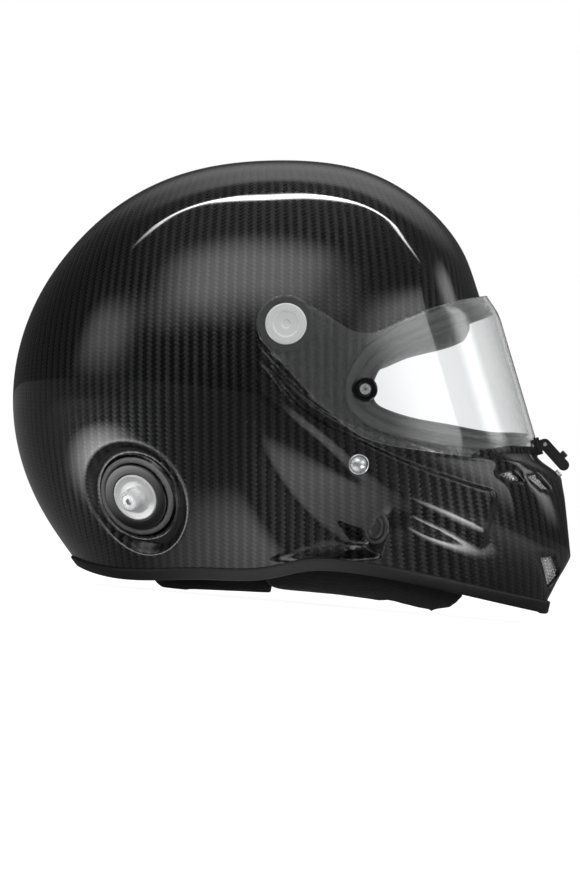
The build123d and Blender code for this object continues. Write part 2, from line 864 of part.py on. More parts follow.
def make_foam():
    """Energy liner over the crown, sides and rear, as its cap and its right side, moulded apart."""
    liner = foam_dome - crown_inner_dome
    liner -= below(*spot(foam_cheek_rear_share, foam_cheek_top_share))
    liner -= below(-overrun, spot(0, foam_rear_bottom_share)[1])
    liner -= eyeport(gasket_room_share)
    reach = anchor_pad_wall + anchor_nut_thickness + skin_gap
    room = drum(anchor_plane, anchor_seat_radius + anchor_pad_wall + skin_gap, -reach, overrun)
    room += drum(pivot_plane, nut_radius + skin_gap, -nut_depth - nut_thickness * 3, 0)
    liner = liner - room - mirrored(room)
    top, bottom = overrun, -overrun
    split = spot(0, foam_split_share)[1]
    above = through(straight_face([(bottom, split), (top, split), (top, top), (bottom, top)]))
    square = straight_face([(bottom, bottom), (top, bottom), (top, top), (bottom, top)])
    right_half = extrude(square, amount=overrun, dir=(0, -1, 0))
    return liner & above, (liner - above) & right_half


def make_chin_foam():
    """Energy liner inside the chin bar."""
    block = through(straight_face(spots(chin_foam_shares)))
    return (foam_dome & block) - dome(foam_inset + chin_foam)


def make_comfort_pad():
    """Fabric-covered pad lining the crown."""
    pad = dome(crown_inner + skin_gap) - dome(crown_inner + comfort_thickness)
    pad -= below(-overrun, spot(0, comfort_bottom_share)[1])
    return pad - eyeport(gasket_room_share)


def make_brow_pad():
    """Padded strip across the forehead, under the gasket's upper edge."""
    curve = spots(brow_shares)
    top = curve[-1][1] + visor_depth
    block = through(capped_face(curve, [(curve[-1][0], top), (curve[0][0], top)]))
    pad = (dome(shell_wall + gasket_lip + skin_gap * 2) & block) & eyeport(brow_room_share)
    return pad - dome(crown_inner + comfort_thickness)


# Strap and cheek pads

wall_places = [
    surface_at(wall_dome, rivet_x + dx, rivet_z + dz)[0].Y
    for dx in (-plate_width / 2, plate_width / 2)
    for dz in (-plate_height / 2, plate_height / 2)
]
plate_y = -min(abs(y) for y in wall_places) + plate_thickness
strap_side = Plane(origin=(rivet_x, 0, 0), x_dir=(0, 1, 0), z_dir=(1, 0, 0))
strap_top_y = abs(plate_y) - strap_thickness / 2
ring_z = spot(0, ring_share)[1]
near_bar = ring_centre_y - (ring_length - ring_wire) / 2
far_bar = ring_centre_y + (ring_length - ring_wire) / 2


def strap_lead(end_y, throat_z):
    """Right-hand strap line from its rivet, inward above the side port's pocket, and across the throat."""
    shape = [
        (-strap_top_y, rivet_z + plate_height / 2),
        (-strap_top_y, rivet_z - plate_height / 2),
        (-strap_inner_y, port_plane.origin.Z + pocket_height / 2 + pocket_wall + strap_thickness),
        (-strap_exit_y, spot(0, strap_exit_share)[1]),
        (-strap_turn_y, throat_z),
        (end_y, throat_z),
    ]
    return FilletPolyline(*shape, radius=strap_bend)


def ribbon(lines, width, thickness):
    return strap_side * extrude(trace(lines, line_width=thickness), amount=width / 2, both=True)


def loop_radius(play):
    """Radius of a strap's turn round the two stacked ring bars."""
    return ring_wire + ring_spacing + play + strap_thickness / 2


def tail_level(play):
    return ring_z + loop_radius(play) - strap_thickness - skin_gap


def make_strap(bar, tail, play):
    """Strap half that turns round a ring bar and lies back below itself."""
    radius = loop_radius(play)
    turn = CenterArc((bar, ring_z), radius, 90, arc_size=-180)
    back = [(bar, ring_z - radius), (bar - strap_fold, tail_level(play)), (bar - tail, tail_level(play))]
    fold = FilletPolyline(*back, radius=strap_bend)
    half = ribbon(Curve() + [strap_lead(bar, ring_z + radius), turn, fold], strap_width, strap_thickness)
    return half - drum(rivet_bore, rivet_shank_radius + fit_gap, -overrun, overrun)


def make_strap_plate():
    """Wedge-backed plate between the shell's wall and the strap."""
    depth = half_width - abs(plate_y)
    block = Pos(rivet_x, plate_y - depth / 2, rivet_z) * Box(plate_width, depth, plate_height)
    return (block & dome(shell_wall + fit_gap)) - drum(rivet_bore, rivet_shank_radius, -overrun, overrun)


def make_strap_rivet():
    """Domed rivet through shell, plate and strap."""
    rise = rivet_head_height
    bulge = (rivet_head_radius**2 + rise**2) / (rise * 2)
    ball = rivet_plane * Pos(0, 0, rise - bulge) * Sphere(bulge)
    head = ball & drum(rivet_plane, rivet_head_radius, 0, rise)
    depth = abs(rivet_point.Y) - abs(plate_y) + strap_thickness
    shank = drum(rivet_bore, rivet_shank_radius, -depth - rivet_tail_thickness, rivet_head_height / 2)
    tail = drum(rivet_bore, rivet_tail_radius, -depth - rivet_tail_thickness, -depth)
    return head + shank + tail


def below_floor():
    return Pos(0, 0, -overrun / 2) * Box(overrun * 2, overrun * 2, overrun)


def make_cheek_pad():
    """Crowned cushion between the shell's side and the cheek, slotted for the strap."""
    outline = spots(cheek_shares)
    x = sum(place[0] for place in outline) / len(outline)
    z = sum(place[1] for place in outline) / len(outline)
    sections = []
    depths = (0, cheek_crown / 2, cheek_crown, half_width)
    for depth, scale in zip(depths, cheek_scale_shares):
        places = [(x + (px - x) * scale, z + (pz - z) * scale) for px, pz in outline]
        sections.append(smooth_face(places, -(cheek_inner_y + depth)))
    pad = loft(sections) & dome(pad_inset)
    pad -= below_floor()
    gap = strap_slot_gap
    lead = strap_lead(near_bar, ring_z + loop_radius(ring_play))
    pad -= ribbon(lead, strap_width + gap * 2, strap_thickness + gap * 2)
    depth = half_width - abs(plate_y) + gap
    space = Box(plate_width + gap * 2, depth + gap, plate_height + gap * 2)
    pad -= Pos(rivet_x, plate_y - depth / 2 + gap, rivet_z) * space
    room = abs(rivet_point.Y) - abs(plate_y) + strap_thickness + rivet_tail_thickness + gap
    pad -= drum(rivet_bore, rivet_tail_radius + gap, -room, 0)
    pad -= drum(port_plane, bung_stem_radius + gap, -bung_stem_length - gap, 0)
    return pad - pocket(pocket_wall + gap)


def make_neck_roll():
    """Padded collar round the nape."""
    rear_x = spot(roll_rear_share, 0)[0] + roll_width / 2
    centre_x = rear_x + roll_radius
    tilt = math.radians(roll_tilt)
    plane = Plane(
        origin=(centre_x, 0, roll_height / 2 + math.sin(tilt) * (roll_radius - roll_width / 2)),
        x_dir=(math.cos(tilt), 0, math.sin(tilt)),
        z_dir=(-math.sin(tilt), 0, math.cos(tilt)),
    )
    profile = Plane.XZ * Pos(roll_radius, 0) * Ellipse(roll_width / 2, roll_height / 2)
    ring = plane * Rot(0, 0, 90) * revolve(profile, Axis.Z, revolution_arc=180)
    ends_x = spot(roll_end_share, 0)[0]
    ahead = Pos(ends_x + overrun / 2, 0, 0) * Box(overrun, overrun * 2, overrun * 2)
    return ring - ahead - below_floor()


def make_ring(level):
    """One strap ring, bent from round wire."""
    z = ring_z + level * (ring_wire + ring_spacing) / 2
    outline = RectangleRounded(ring_breadth - ring_wire, ring_length - ring_wire, ring_corner)
    path = Pos(rivet_x, ring_centre_y, z) * outline.wire()
    start = Plane(origin=path @ 0, z_dir=path % 0)
    return sweep(start * Circle(ring_wire / 2), path=path)


def make_snap():
    """Cap of the snap that keeps the loose end down."""
    y = near_bar - long_tail + snap_radius * 1.5
    z = tail_level(ring_play) - strap_thickness / 2
    plane = Plane(origin=(rivet_x, y, z), x_dir=(1, 0, 0), z_dir=(0, 0, -1))
    cap = drum(plane, snap_radius, 0, snap_thickness)
    return fillet(cap.edges().sort_by(Axis.Z)[0], snap_thickness / 3)


def keep_sides(name, right):
    pieces[f"{name}_right"] = right
    pieces[f"{name}_left"] = mirrored(right)


crown_foam_cap, side_foam = make_foam()
pieces = {
    "outer_shell": make_outer_shell(),
    "edge_trim": make_edge_trim(),
    "eyeport_gasket": make_gasket(),
    "crown_foam_liner": crown_foam_cap,
    "chin_foam_liner": make_chin_foam(),
    "crown_comfort_pad": make_comfort_pad(),
    "brow_pad": make_brow_pad(),
    "neck_roll": make_neck_roll(),
    "visor_shield": make_visor(),
    "latch_base": make_latch_base(),
    "latch_pin": across(pin_centre, latch_pin_radius, latch_width),
    "latch_lever": make_latch_lever(),
    "latch_knob": make_latch_knob(),
    "latch_catch": make_latch_catch(),
    "strap_long": make_strap(near_bar, long_tail, ring_play),
    "strap_short": mirrored(make_strap(-far_bar, short_tail, skin_gap)),
    "strap_ring_upper": make_ring(1),
    "strap_ring_lower": make_ring(-1),
    "strap_snap": make_snap(),
}
keep_sides("side_foam_liner", side_foam)
keep_sides("cheek_pad", make_cheek_pad())
keep_sides("pivot_base", make_pivot_base())
keep_sides("pivot_disc", make_pivot_disc())
keep_sides("pivot_nut", make_pivot_nut())
keep_sides("post_washer", make_post_washer())
keep_sides("tear_off_post", make_tear_off_post())
keep_sides("anchor_washer", make_anchor_washer())
keep_sides("anchor_post", make_anchor_post())
keep_sides("anchor_screw", make_anchor_screw())
keep_sides("anchor_nut", make_anchor_nut())
keep_sides("port_ring", make_port_ring())
keep_sides("port_bung", make_port_bung())
keep_sides("strap_plate", make_strap_plate())
keep_sides("strap_rivet", make_strap_rivet())
for place_name, vent_shares in zip(("rear", "front", "lower"), vent_share_sets):
    keep_sides(f"{place_name}_vent_mesh", make_vent_mesh(vent_shares))

os.makedirs("parts", exist_ok=True)
for node, solid in pieces.items():
    export_step(solid, f"parts/{node}.step")
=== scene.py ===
import math

import bmesh
import bpy
import numpy as np
from mathutils import Matrix, Vector, geometry


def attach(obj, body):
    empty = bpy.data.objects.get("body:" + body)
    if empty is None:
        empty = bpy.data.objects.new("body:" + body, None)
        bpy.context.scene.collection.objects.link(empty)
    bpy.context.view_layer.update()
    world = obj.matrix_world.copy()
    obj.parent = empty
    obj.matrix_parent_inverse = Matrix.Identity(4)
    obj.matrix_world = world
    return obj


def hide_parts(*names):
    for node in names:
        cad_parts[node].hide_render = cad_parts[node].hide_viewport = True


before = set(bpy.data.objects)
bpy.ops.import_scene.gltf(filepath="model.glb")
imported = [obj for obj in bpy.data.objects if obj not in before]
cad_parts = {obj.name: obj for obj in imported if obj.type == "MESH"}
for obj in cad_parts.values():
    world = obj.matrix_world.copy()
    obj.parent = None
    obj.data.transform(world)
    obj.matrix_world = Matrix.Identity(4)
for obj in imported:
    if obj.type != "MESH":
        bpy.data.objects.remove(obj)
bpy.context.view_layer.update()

# The helmet is looked at straight from its right side through a very long lens, with its nose tipped up a
# little. The picture is 580 by 870, and the visor's pivot lies at (286, 325) in it.
PICTURE_SIZE = (580, 870)
PICTURE_PIVOT = (286, 325)
PICTURE_MM = 0.634
NOSE_UP = math.radians(5.1)
PIVOT = np.array((-12.2, 174.7))
EYE_DISTANCE = 12.0
SENSOR_MM = 24.0


def seen(places):
    """Side-view places in millimetres (forward, up) of places in the picture."""
    picture = np.asarray(places, float)
    right = (picture[..., 0] - PICTURE_PIVOT[0]) * PICTURE_MM
    up = (PICTURE_PIVOT[1] - picture[..., 1]) * PICTURE_MM
    forward = right * math.cos(NOSE_UP) - up * math.sin(NOSE_UP)
    height = right * math.sin(NOSE_UP) + up * math.cos(NOSE_UP)
    return PIVOT + np.stack((forward, height), -1)


def placed(name, data):
    """New object in the scene from a mesh, camera or lamp."""
    made = bpy.data.objects.new(name, data)
    bpy.context.scene.collection.objects.link(made)
    return made


camera = placed("camera", bpy.data.cameras.new("camera"))
middle = seen((PICTURE_SIZE[0] / 2, PICTURE_SIZE[1] / 2)) / 1000
camera.matrix_world = Matrix.Translation((middle[0], -EYE_DISTANCE, middle[1])) @ (
    Matrix.Rotation(-NOSE_UP, 4, "Y") @ Matrix.Rotation(math.pi / 2, 4, "X")
)
camera.data.sensor_fit = "VERTICAL"
camera.data.sensor_height = camera.data.sensor_width = SENSOR_MM
camera.data.lens = SENSOR_MM * EYE_DISTANCE / (PICTURE_SIZE[1] * PICTURE_MM / 1000)
camera.data.clip_start, camera.data.clip_end = 1.0, 40.0
bpy.context.scene.camera = camera


# Outer shell: one hollow moulding of 2x2 twill carbon cloth under a thick clear coat, laid up in a mould. Its
# cheek fairing, side-port scoop, anchor seat and chin edges are moulded in, the eyeport and vents cut after.
SIDE_LENGTH, SIDE_HEIGHT, HALF_WIDTH = 360.4, 279.3, 126.0
SHELL_WALL = 4.0
CROWN_RIDGE = 1.6
CORE_SHARE = (-0.028, -0.161)
DOME_SHARES = (
    (0.334, 0.105, 2.50, 0.0), (0.303, 0.192, 2.50, 0.0), (0.258, 0.263, 2.45, 0.4), (0.194, 0.323, 2.40, 1.0),
    (0.123, 0.361, 2.40, 1.0), (0.042, 0.375, 2.40, 1.0), (-0.045, 0.370, 2.40, 1.0), (-0.133, 0.351, 2.35, 1.0),
    (-0.226, 0.309, 2.30, 1.0), (-0.311, 0.238, 2.30, 0.7), (-0.383, 0.138, 2.30, 0.3), (-0.436, 0.020, 2.30, 0.0),
    (-0.464, -0.107, 2.25, 0.0), (-0.466, -0.236, 2.20, 0.0), (-0.446, -0.348, 2.10, 0.0), (-0.393, -0.478, 2.05, 0.0),
    (-0.320, -0.591, 2.05, 0.0), (-0.208, -0.734, 2.10, 0.0), (-0.028, -0.841, 2.20, 0.0), (0.166, -0.859, 2.30, 0.0),
    (0.347, -0.806, 2.30, 0.0), (0.477, -0.687, 2.20, 0.0), (0.536, -0.555, 2.20, 0.0), (0.547, -0.437, 2.20, 0.0),
    (0.527, -0.337, 2.25, 0.0), (0.498, -0.280, 2.30, 0.0), (0.465, -0.253, 2.40, 0.0), (0.436, -0.193, 2.45, 0.0),
    (0.405, -0.097, 2.50, 0.0), (0.369, 0.011, 2.50, 0.0),
)
PROW_SHARES = ((0.508, -0.254), (0.508, -0.304), (0.514, -0.333), (0.534, -0.467), (0.499, -0.569), (0.500, -0.67))
HEM_SHARES = (
    (-0.480, -0.500), (-0.375, -0.537), (-0.324, -0.573), (-0.272, -0.589), (-0.112, -0.575), (0.006, -0.560),
    (0.072, -0.535), (0.128, -0.529), (0.239, -0.538), (0.375, -0.561), (0.498, -0.583), (0.569, -0.594),
    (0.65, -0.605),
)
PORT_OUTER_SHARES = (
    (0.600, 0.185), (0.458, 0.154), (0.350, 0.102), (0.268, 0.058), (0.200, 0.014), (0.151, -0.030), (0.122, -0.082),
    (0.114, -0.136), (0.125, -0.177), (0.161, -0.211), (0.235, -0.233), (0.289, -0.240), (0.360, -0.243),
    (0.460, -0.243), (0.600, -0.235),
)
PORT_INNER_SHARES = (
    (0.600, 0.150), (0.458, 0.107), (0.372, 0.061), (0.272, 0.006), (0.216, -0.029), (0.180, -0.068), (0.166, -0.100),
    (0.162, -0.131), (0.168, -0.156), (0.192, -0.172), (0.244, -0.186), (0.305, -0.193), (0.381, -0.202),
    (0.448, -0.199), (0.600, -0.190),
)
SHELL_EDGE_SHARE = 0.40
HEM_DROP = 3.4
FAIRING_HEIGHT, LIP_HEIGHT, LIP_SPREAD, BULGE_HEIGHT, BULGE_SPREAD = 3.2, 1.9, 1.7, 1.7, 8.0
SCOOP_FALL, SCOOP_TOP_SLOPE, SCOOP_LOW_SLOPE, SCOOP_CORNER = 0.31, 0.55, 2.2, 4.0
SEAT_GROOVE, SEAT_BOWL, SEAT_LIP = 2.4, 13.0, 1.4
PIVOT_SEAT_SINK, PIVOT_SEAT_RADIUS = 1.6, 20.5
PROW_CORNER = 1.8
VENT_SINK, VENT_SINK_SPREAD = 0.9, 2.2
VENTS = (
    seen(((499, 474), (513, 470.5), (522, 480.5), (511, 479.5))),
    seen(((527, 476), (536, 474), (548.5, 488.5), (541, 488))),
    seen(((540.5, 557.5), (552.5, 556.5), (557.5, 570), (557, 575.5), (548, 587), (544.5, 571))),
)
ANCHOR_POINT = np.array((-95.828, -91.555, 58.695))
ANCHOR_AXIS = np.array((-0.42948, -0.822951, -0.371885))
PORT_POINT = np.array((56.276, -106.599, 52.367))


def spots(shares):
    """Side-view places in millimetres at shares of the helmet's length and height from the pivot."""
    return PIVOT + np.asarray(shares, float)[..., :2] * (SIDE_LENGTH, SIDE_HEIGHT)


def way_along(points):
    """Distance from the first point of a line to each of its points, along the line."""
    return np.concatenate(([0], np.cumsum(np.linalg.norm(np.diff(points, axis=0), axis=1))))


def ringed(line):
    """Line of points closed by its first one."""
    return np.vstack((line, line[:1]))


def smooth_curve(rows, closed):
    """Function that gives the smooth curve through rows of numbers at shares of the way along them."""
    rows = np.asarray(rows, float)
    ends = ringed(rows) if closed else rows
    gaps = np.linalg.norm(np.diff(ends[:, : 2 + (ends.shape[1] == 3)], axis=0), axis=1)
    stations = np.concatenate(([0], np.cumsum(gaps)))
    count = len(rows)
    system, slope = np.eye(count), np.zeros_like(rows)
    for i in range(count) if closed else range(1, count - 1):
        before, after, following = gaps[i - 1], gaps[i % len(gaps)], (i + 1) % count
        system[i] = 0
        system[i, i - 1] += before
        system[i, i] += 2 * (before + after)
        system[i, following] += after
        slope[i] = 6 * ((rows[following] - rows[i]) / after - (rows[i] - rows[i - 1]) / before)
    bend = np.linalg.solve(system, slope)

    def at(share):
        share = np.asarray(share, float)
        place = (share % 1.0 if closed else np.clip(share, 0, 1)) * stations[-1]
        i = np.clip(np.searchsorted(stations, place, side="right") - 1, 0, len(gaps) - 1)
        j = (i + 1) % count
        gap = gaps[i][..., None]
        part = (place - stations[i])[..., None] / gap
        rest = 1 - part
        sway = gap * gap / 6 * ((rest**3 - rest) * bend[i] + (part**3 - part) * bend[j])
        return rows[i] * rest + rows[j] * part + sway

    return at


def drawn(rows, count):
    """Points evenly spaced along the smooth curve through rows."""
    return smooth_curve(rows, False)(np.linspace(0, 1, count))


def line_distance(places, line):
    """Distance of each side-view place from a line of points, positive on the line's left, and the share along."""
    places, line = np.asarray(places, float), np.asarray(line, float)
    flat = places.reshape(-1, 2)
    starts, steps = line[:-1], np.diff(line, axis=0)
    lengths = np.linalg.norm(steps, axis=1)
    stations = np.concatenate(([0], np.cumsum(lengths)))
    best, share = np.full(len(flat), 1e9), np.zeros(len(flat))
    for start, step, length, station in zip(starts, steps, lengths, stations):
        away = flat - start
        part = np.clip(away @ step / length**2, 0, 1)
        gap = away - part[:, None] * step
        distance = np.hypot(*gap.T)
        left = step[0] * away[:, 1] - step[1] * away[:, 0]
        nearer = distance < np.abs(best) - 1e-9
        best = np.where(nearer, np.where(left < 0, -distance, distance), best)
        share = np.where(nearer, (station + part * length) / stations[-1], share)
    return best.reshape(places.shape[:-1]), share.reshape(places.shape[:-1])


def rise(value, low, high):
    """Smooth step from 0 at low to 1 at high."""
    part = np.clip((value - low) / (high - low), 0, 1)
    return part * part * (3 - 2 * part)


def softer(a, b, blend):
    """The lesser of two heights, rounded where they meet."""
    mix = np.clip(0.5 + 0.5 * (b - a) / blend, 0, 1)
    return b * (1 - mix) + a * mix - blend * mix * (1 - mix)


core = spots(CORE_SHARE)
dome_rows = np.hstack((spots(DOME_SHARES), np.array(DOME_SHARES)[:, 2:]))
dome_outline = smooth_curve(dome_rows, True)
hem_line = drawn(spots(HEM_SHARES), 90)
prow_line = spots(PROW_SHARES)
port_outer, port_inner = drawn(spots(PORT_OUTER_SHARES), 160), drawn(spots(PORT_INNER_SHARES), 160)
port_edge = port_outer + (port_inner - port_outer) * SHELL_EDGE_SHARE

# Levels across the width, closer where the section turns, as even steps along an average section
fine_levels = np.sin(np.linspace(0, math.pi / 2, 4001)) ** 1.2
fine_reach = (1 - fine_levels**2.3) ** (1 / 2.3)
section_run = way_along(np.stack((fine_levels * HALF_WIDTH, fine_reach * 160), -1))


def level_at(share):
    return np.interp(np.asarray(share) * section_run[-1], section_run, fine_levels)


def dome(around, across):
    """Points on the plain dome, from shares round its side outline and from its middle to its side."""
    around, across = np.broadcast_arrays(around, across)
    row = dome_outline(around)
    level = level_at(across)
    away = row[..., :2] - core
    reach = np.linalg.norm(away, axis=-1)
    full = row[..., 2]
    swell = CROWN_RIDGE * row[..., 3] * np.exp(-(((level - 0.56) / 0.07) ** 2))
    length = reach * (1 - level**full) ** (1 / full) + swell
    side = core + away * (length / reach)[..., None]
    return np.stack((side[..., 0], -level * HALF_WIDTH, side[..., 1]), -1)


def normal_of(surface, around, across, step=0.0015):
    """Outward direction of a surface at shares round and across it."""
    low, high = np.maximum(across - step, 0), np.minimum(across + step, 1 - 1e-6)
    one = surface(around + step, across) - surface(around - step, across)
    other = surface(around, high) - surface(around, low)
    out = np.cross(one, other)
    out /= np.linalg.norm(out, axis=-1, keepdims=True) + 1e-12
    middle_point = np.array((core[0], 0, core[1]))
    outward = np.sign(np.sum(out * (surface(around, across) - middle_point), -1, keepdims=True))
    return out * np.where(outward == 0, 1, outward)


# Moulded forms of the right-hand side, as lines in the side view
crest_line = drawn(seen((
    (247, 345), (257, 357), (276.6, 377), (295, 400), (308, 411.5), (327.6, 423.5), (351, 435), (378, 448),
    (407, 460.5), (429, 469), (458, 479), (482, 486.5), (493, 489))), 60)
fairing_front = drawn(seen(((480, 478), (491.5, 489), (493, 505), (490, 522), (484, 544), (476, 565))), 30)
fairing_belly = drawn(seen((
    (245, 362), (262, 378), (282, 403), (300, 420), (320, 436), (344, 455), (372, 478), (401, 497), (432, 511),
    (462, 525), (500, 543))), 50)
lip_line = drawn(seen((
    (262, 349), (271, 362), (295, 387.5), (306, 397.5), (327.6, 413), (350, 424.5), (378, 435.5), (420, 446.5),
    (470, 457.5), (520, 462))), 50)
lower_bulge = drawn(seen(((392, 512), (410, 529), (440, 544), (470, 556), (500, 566))), 24)
scoop_top = seen(((404, 511), (389, 503.5), (374, 494.5), (362, 487), (345, 479), (312, 463), (250, 432), (170, 395)))
scoop_low = seen(((180, 549), (270, 555), (300, 557.5), (355, 558.5), (383, 556), (410, 548)))


def moulded(around, across):
    """Points on the finished shell: the dome with its fairing, lips, scoop, seats and chin edges."""
    point = dome(around, across)
    out = normal_of(dome, around, across)
    side = point[..., (0, 2)]
    on_side = rise(-point[..., 1], 12, 40)
    crest, crest_share = line_distance(side, crest_line)
    front, _ = line_distance(side, fairing_front)
    belly, belly_share = line_distance(side, fairing_belly)
    fairing = rise(-crest, -0.4, 2.6) * rise(-front, -1.5, 4.5) * rise(belly, -4 - 6 * rise(belly_share, 0.3, 0.6), 4)
    fairing = fairing * rise(crest_share, 0.03, 0.28)
    lip, lip_share = line_distance(side, lip_line)
    lip_height = LIP_HEIGHT * np.exp(-((lip / LIP_SPREAD) ** 2))
    lip_height = lip_height * rise(lip_share, 0.0, 0.08) * (1 - 0.8 * rise(lip_share, 0.55, 0.8))
    bulge, bulge_share = line_distance(side, lower_bulge)
    bulge_height = BULGE_HEIGHT * np.exp(-((bulge / BULGE_SPREAD) ** 2))
    bulge_height = bulge_height * rise(bulge_share, 0.02, 0.16) * (1 - rise(bulge_share, 0.35, 0.95))
    point = point + out * ((FAIRING_HEIGHT * fairing + lip_height + bulge_height) * on_side)[..., None]
    # the side port's scoop: a slanted rear-facing wall, a long floor that runs out, and steep sides
    x, depth, z = point[..., 0], -point[..., 1], point[..., 2]
    root, root_depth = PORT_POINT[0] - 11.0, -PORT_POINT[1] - 11.0
    wall = depth - root_depth - (x - root)
    floor = depth - root_depth - (root - x) * SCOOP_FALL - 0.0035 * np.maximum(root - x - 25, 0) ** 2
    from_top = line_distance(side, scoop_top)[0] * SCOOP_TOP_SLOPE
    from_low = line_distance(side, scoop_low)[0] * SCOOP_LOW_SLOPE
    sunk = softer(softer(wall, floor, 5.0), softer(from_top, from_low, SCOOP_CORNER), SCOOP_CORNER)
    near = (np.abs(z - PORT_POINT[2]) < 60) & (x > -70) & (x < 90) & (depth > 60)
    runout = 1.4 + 8.0 * rise(root - x, 4, 50)
    point[..., 1] = np.where(near, -depth - softer(-sunk, 0, runout), point[..., 1])
    # the head-restraint anchor's round seat: a lip round the washer, a groove and a bowl outside it
    away = point - ANCHOR_POINT
    height = away @ ANCHOR_AXIS
    radius = np.linalg.norm(away - height[..., None] * ANCHOR_AXIS, axis=-1)
    bowl = -SEAT_GROOVE * rise(radius, 25, 28) + SEAT_BOWL * rise(radius, 28.5, 47.0) + 200 * rise(radius, 47, 60)
    lip_ring = SEAT_LIP * rise(radius, 22.0, 22.6) - 14 * rise(radius, 24.6, 31) - 60 * rise(radius, 31, 42)
    lowered = -softer(-softer(height, bowl, 1.8), -lip_ring, 0.5)
    seat = (radius < 55) & (height > -20)
    point = point + np.where(seat, lowered - height, 0)[..., None] * ANCHOR_AXIS
    # flat round seat under the visor's pivot
    reach = np.hypot(point[..., 0] - PIVOT[0], point[..., 2] - PIVOT[1])
    flat = softer(-point[..., 1], HALF_WIDTH - PIVOT_SEAT_SINK + 60 * rise(reach, PIVOT_SEAT_RADIUS, 40), 0.8)
    point[..., 1] = np.where((reach < 30) & (-point[..., 1] > 90), -flat, point[..., 1])
    # flat facets at the front of the chin
    limit = np.interp(-point[..., 2], -prow_line[:, 1], prow_line[:, 0])
    faced = softer(point[..., 0], limit, PROW_CORNER)
    chin = (point[..., 2] < prow_line[0, 1] + 5) & (point[..., 0] > 140)
    point[..., 0] = np.where(chin, faced, point[..., 0])
    # a slight sink round each vent
    for vent in VENTS:
        edge, _ = line_distance(point[..., (0, 2)], ringed(vent))
        sink = VENT_SINK * np.exp(-((edge / VENT_SINK_SPREAD) ** 2)) * (point[..., 1] < -20)
        point = point - out * sink[..., None]
    return point


def outside_loop(places, loop):
    """Signed distance from a closed line that runs clockwise in the side view, positive outside."""
    distance, _ = line_distance(places, ringed(loop))
    flat = np.asarray(places, float).reshape(-1, 2)
    a, b = loop, np.roll(loop, -1, axis=0)
    inside = np.zeros(len(flat), bool)
    for (x0, z0), (x1, z1) in zip(a, b):
        crosses = (z0 > flat[:, 1]) != (z1 > flat[:, 1])
        where = x0 + (flat[:, 1] - z0) * (x1 - x0) / (z1 - z0 + 1e-12)
        inside ^= crosses & (flat[:, 0] < where)
    inside = inside.reshape(distance.shape)
    return np.where(inside, -np.abs(distance), np.abs(distance))


def shell_keep(point):
    """How far a point of the shell lies inside its cut edges."""
    side = point[..., (0, 2)]
    hem, _ = line_distance(side, hem_line)
    keep = np.minimum(outside_loop(side, port_edge), hem + HEM_DROP)
    for vent in VENTS:
        keep = np.minimum(keep, outside_loop(side, vent))
    return keep


CUT_HALVINGS = 9


def cells(surface, wide, high, detail, keep, closed, top=1.0):
    """Cells over a surface, halved up to twice where detail asks, and cut where keep turns negative.

    Gives shares of the corners, faces as lists of corners, and the cut edges as pairs of corners.
    """
    columns, rows = wide * 4, high * 4

    def shares(places):
        return np.array([(i / columns, j / rows * top) for i, j in places])

    leaves = [(i * 4, j * 4, 4) for i in range(wide) for j in range(high)]
    for size in (4, 2):
        middles = shares([(i + size / 2, j + size / 2) for i, j, s in leaves if s == size])
        if not len(middles):
            break
        split = iter(detail(surface(middles[:, 0], middles[:, 1])) >= (1 if size == 4 else 2))
        half = size // 2
        halved = []
        for i, j, s in leaves:
            if s == size and next(split):
                halved += [(i, j, half), (i + half, j, half), (i, j + half, half), (i + half, j + half, half)]
            else:
                halved.append((i, j, s))
        leaves = halved

    def wrapped(i):
        return i % columns if closed else i

    places = {}
    for i, j, s in leaves:
        for corner in ((i, j), (i + s, j), (i + s, j + s), (i, j + s)):
            places.setdefault((wrapped(corner[0]), corner[1]), len(places))
    faces = []
    for i, j, s in leaves:
        ring = [(i + k, j) for k in range(s)] + [(i + s, j + k) for k in range(s)]
        ring += [(i + s - k, j + s) for k in range(s)] + [(i, j + s - k) for k in range(s)]
        faces.append([places[(wrapped(a), b)] for a, b in ring if (wrapped(a), b) in places])
    corner_shares = shares(list(places))
    value = keep(surface(corner_shares[:, 0], corner_shares[:, 1]))
    crossing = {}
    for face in faces:
        for a, b in zip(face, face[1:] + face[:1]):
            if (value[a] > 0) != (value[b] > 0):
                crossing.setdefault((min(a, b), max(a, b)), len(crossing))
    pairs = np.array(list(crossing)).reshape(-1, 2)
    inner, outer = corner_shares[pairs[:, 0]].copy(), corner_shares[pairs[:, 1]].copy()
    if closed:
        outer[:, 0] -= np.round(outer[:, 0] - inner[:, 0])
    turned = value[pairs[:, 0]] < 0
    inner[turned], outer[turned] = outer[turned].copy(), inner[turned].copy()
    for _ in range(CUT_HALVINGS):
        between = (inner + outer) / 2
        kept = keep(surface(between[:, 0], between[:, 1])) > 0
        inner[kept], outer[~kept] = between[kept], between[~kept]
    cut_shares = (inner + outer) / 2
    first_cut = len(corner_shares)
    kept_faces, cut_edges = [], []
    for face in faces:
        signs = value[face] > 0
        if signs.all():
            kept_faces.append(face)
        elif signs.any():
            ring, cuts = [], []
            for a, b in zip(face, face[1:] + face[:1]):
                if value[a] > 0:
                    ring.append(a)
                if (value[a] > 0) != (value[b] > 0):
                    new = first_cut + crossing[(min(a, b), max(a, b))]
                    cuts.append((len(ring), new))
                    ring.append(new)
            kept_faces.append(ring)
            for k, (at, new) in enumerate(cuts):
                following = cuts[(k + 1) % len(cuts)]
                if (following[0] - at) % len(ring) == 1:
                    cut_edges.append((new, following[1]))
    return np.vstack((corner_shares, cut_shares)), kept_faces, cut_edges


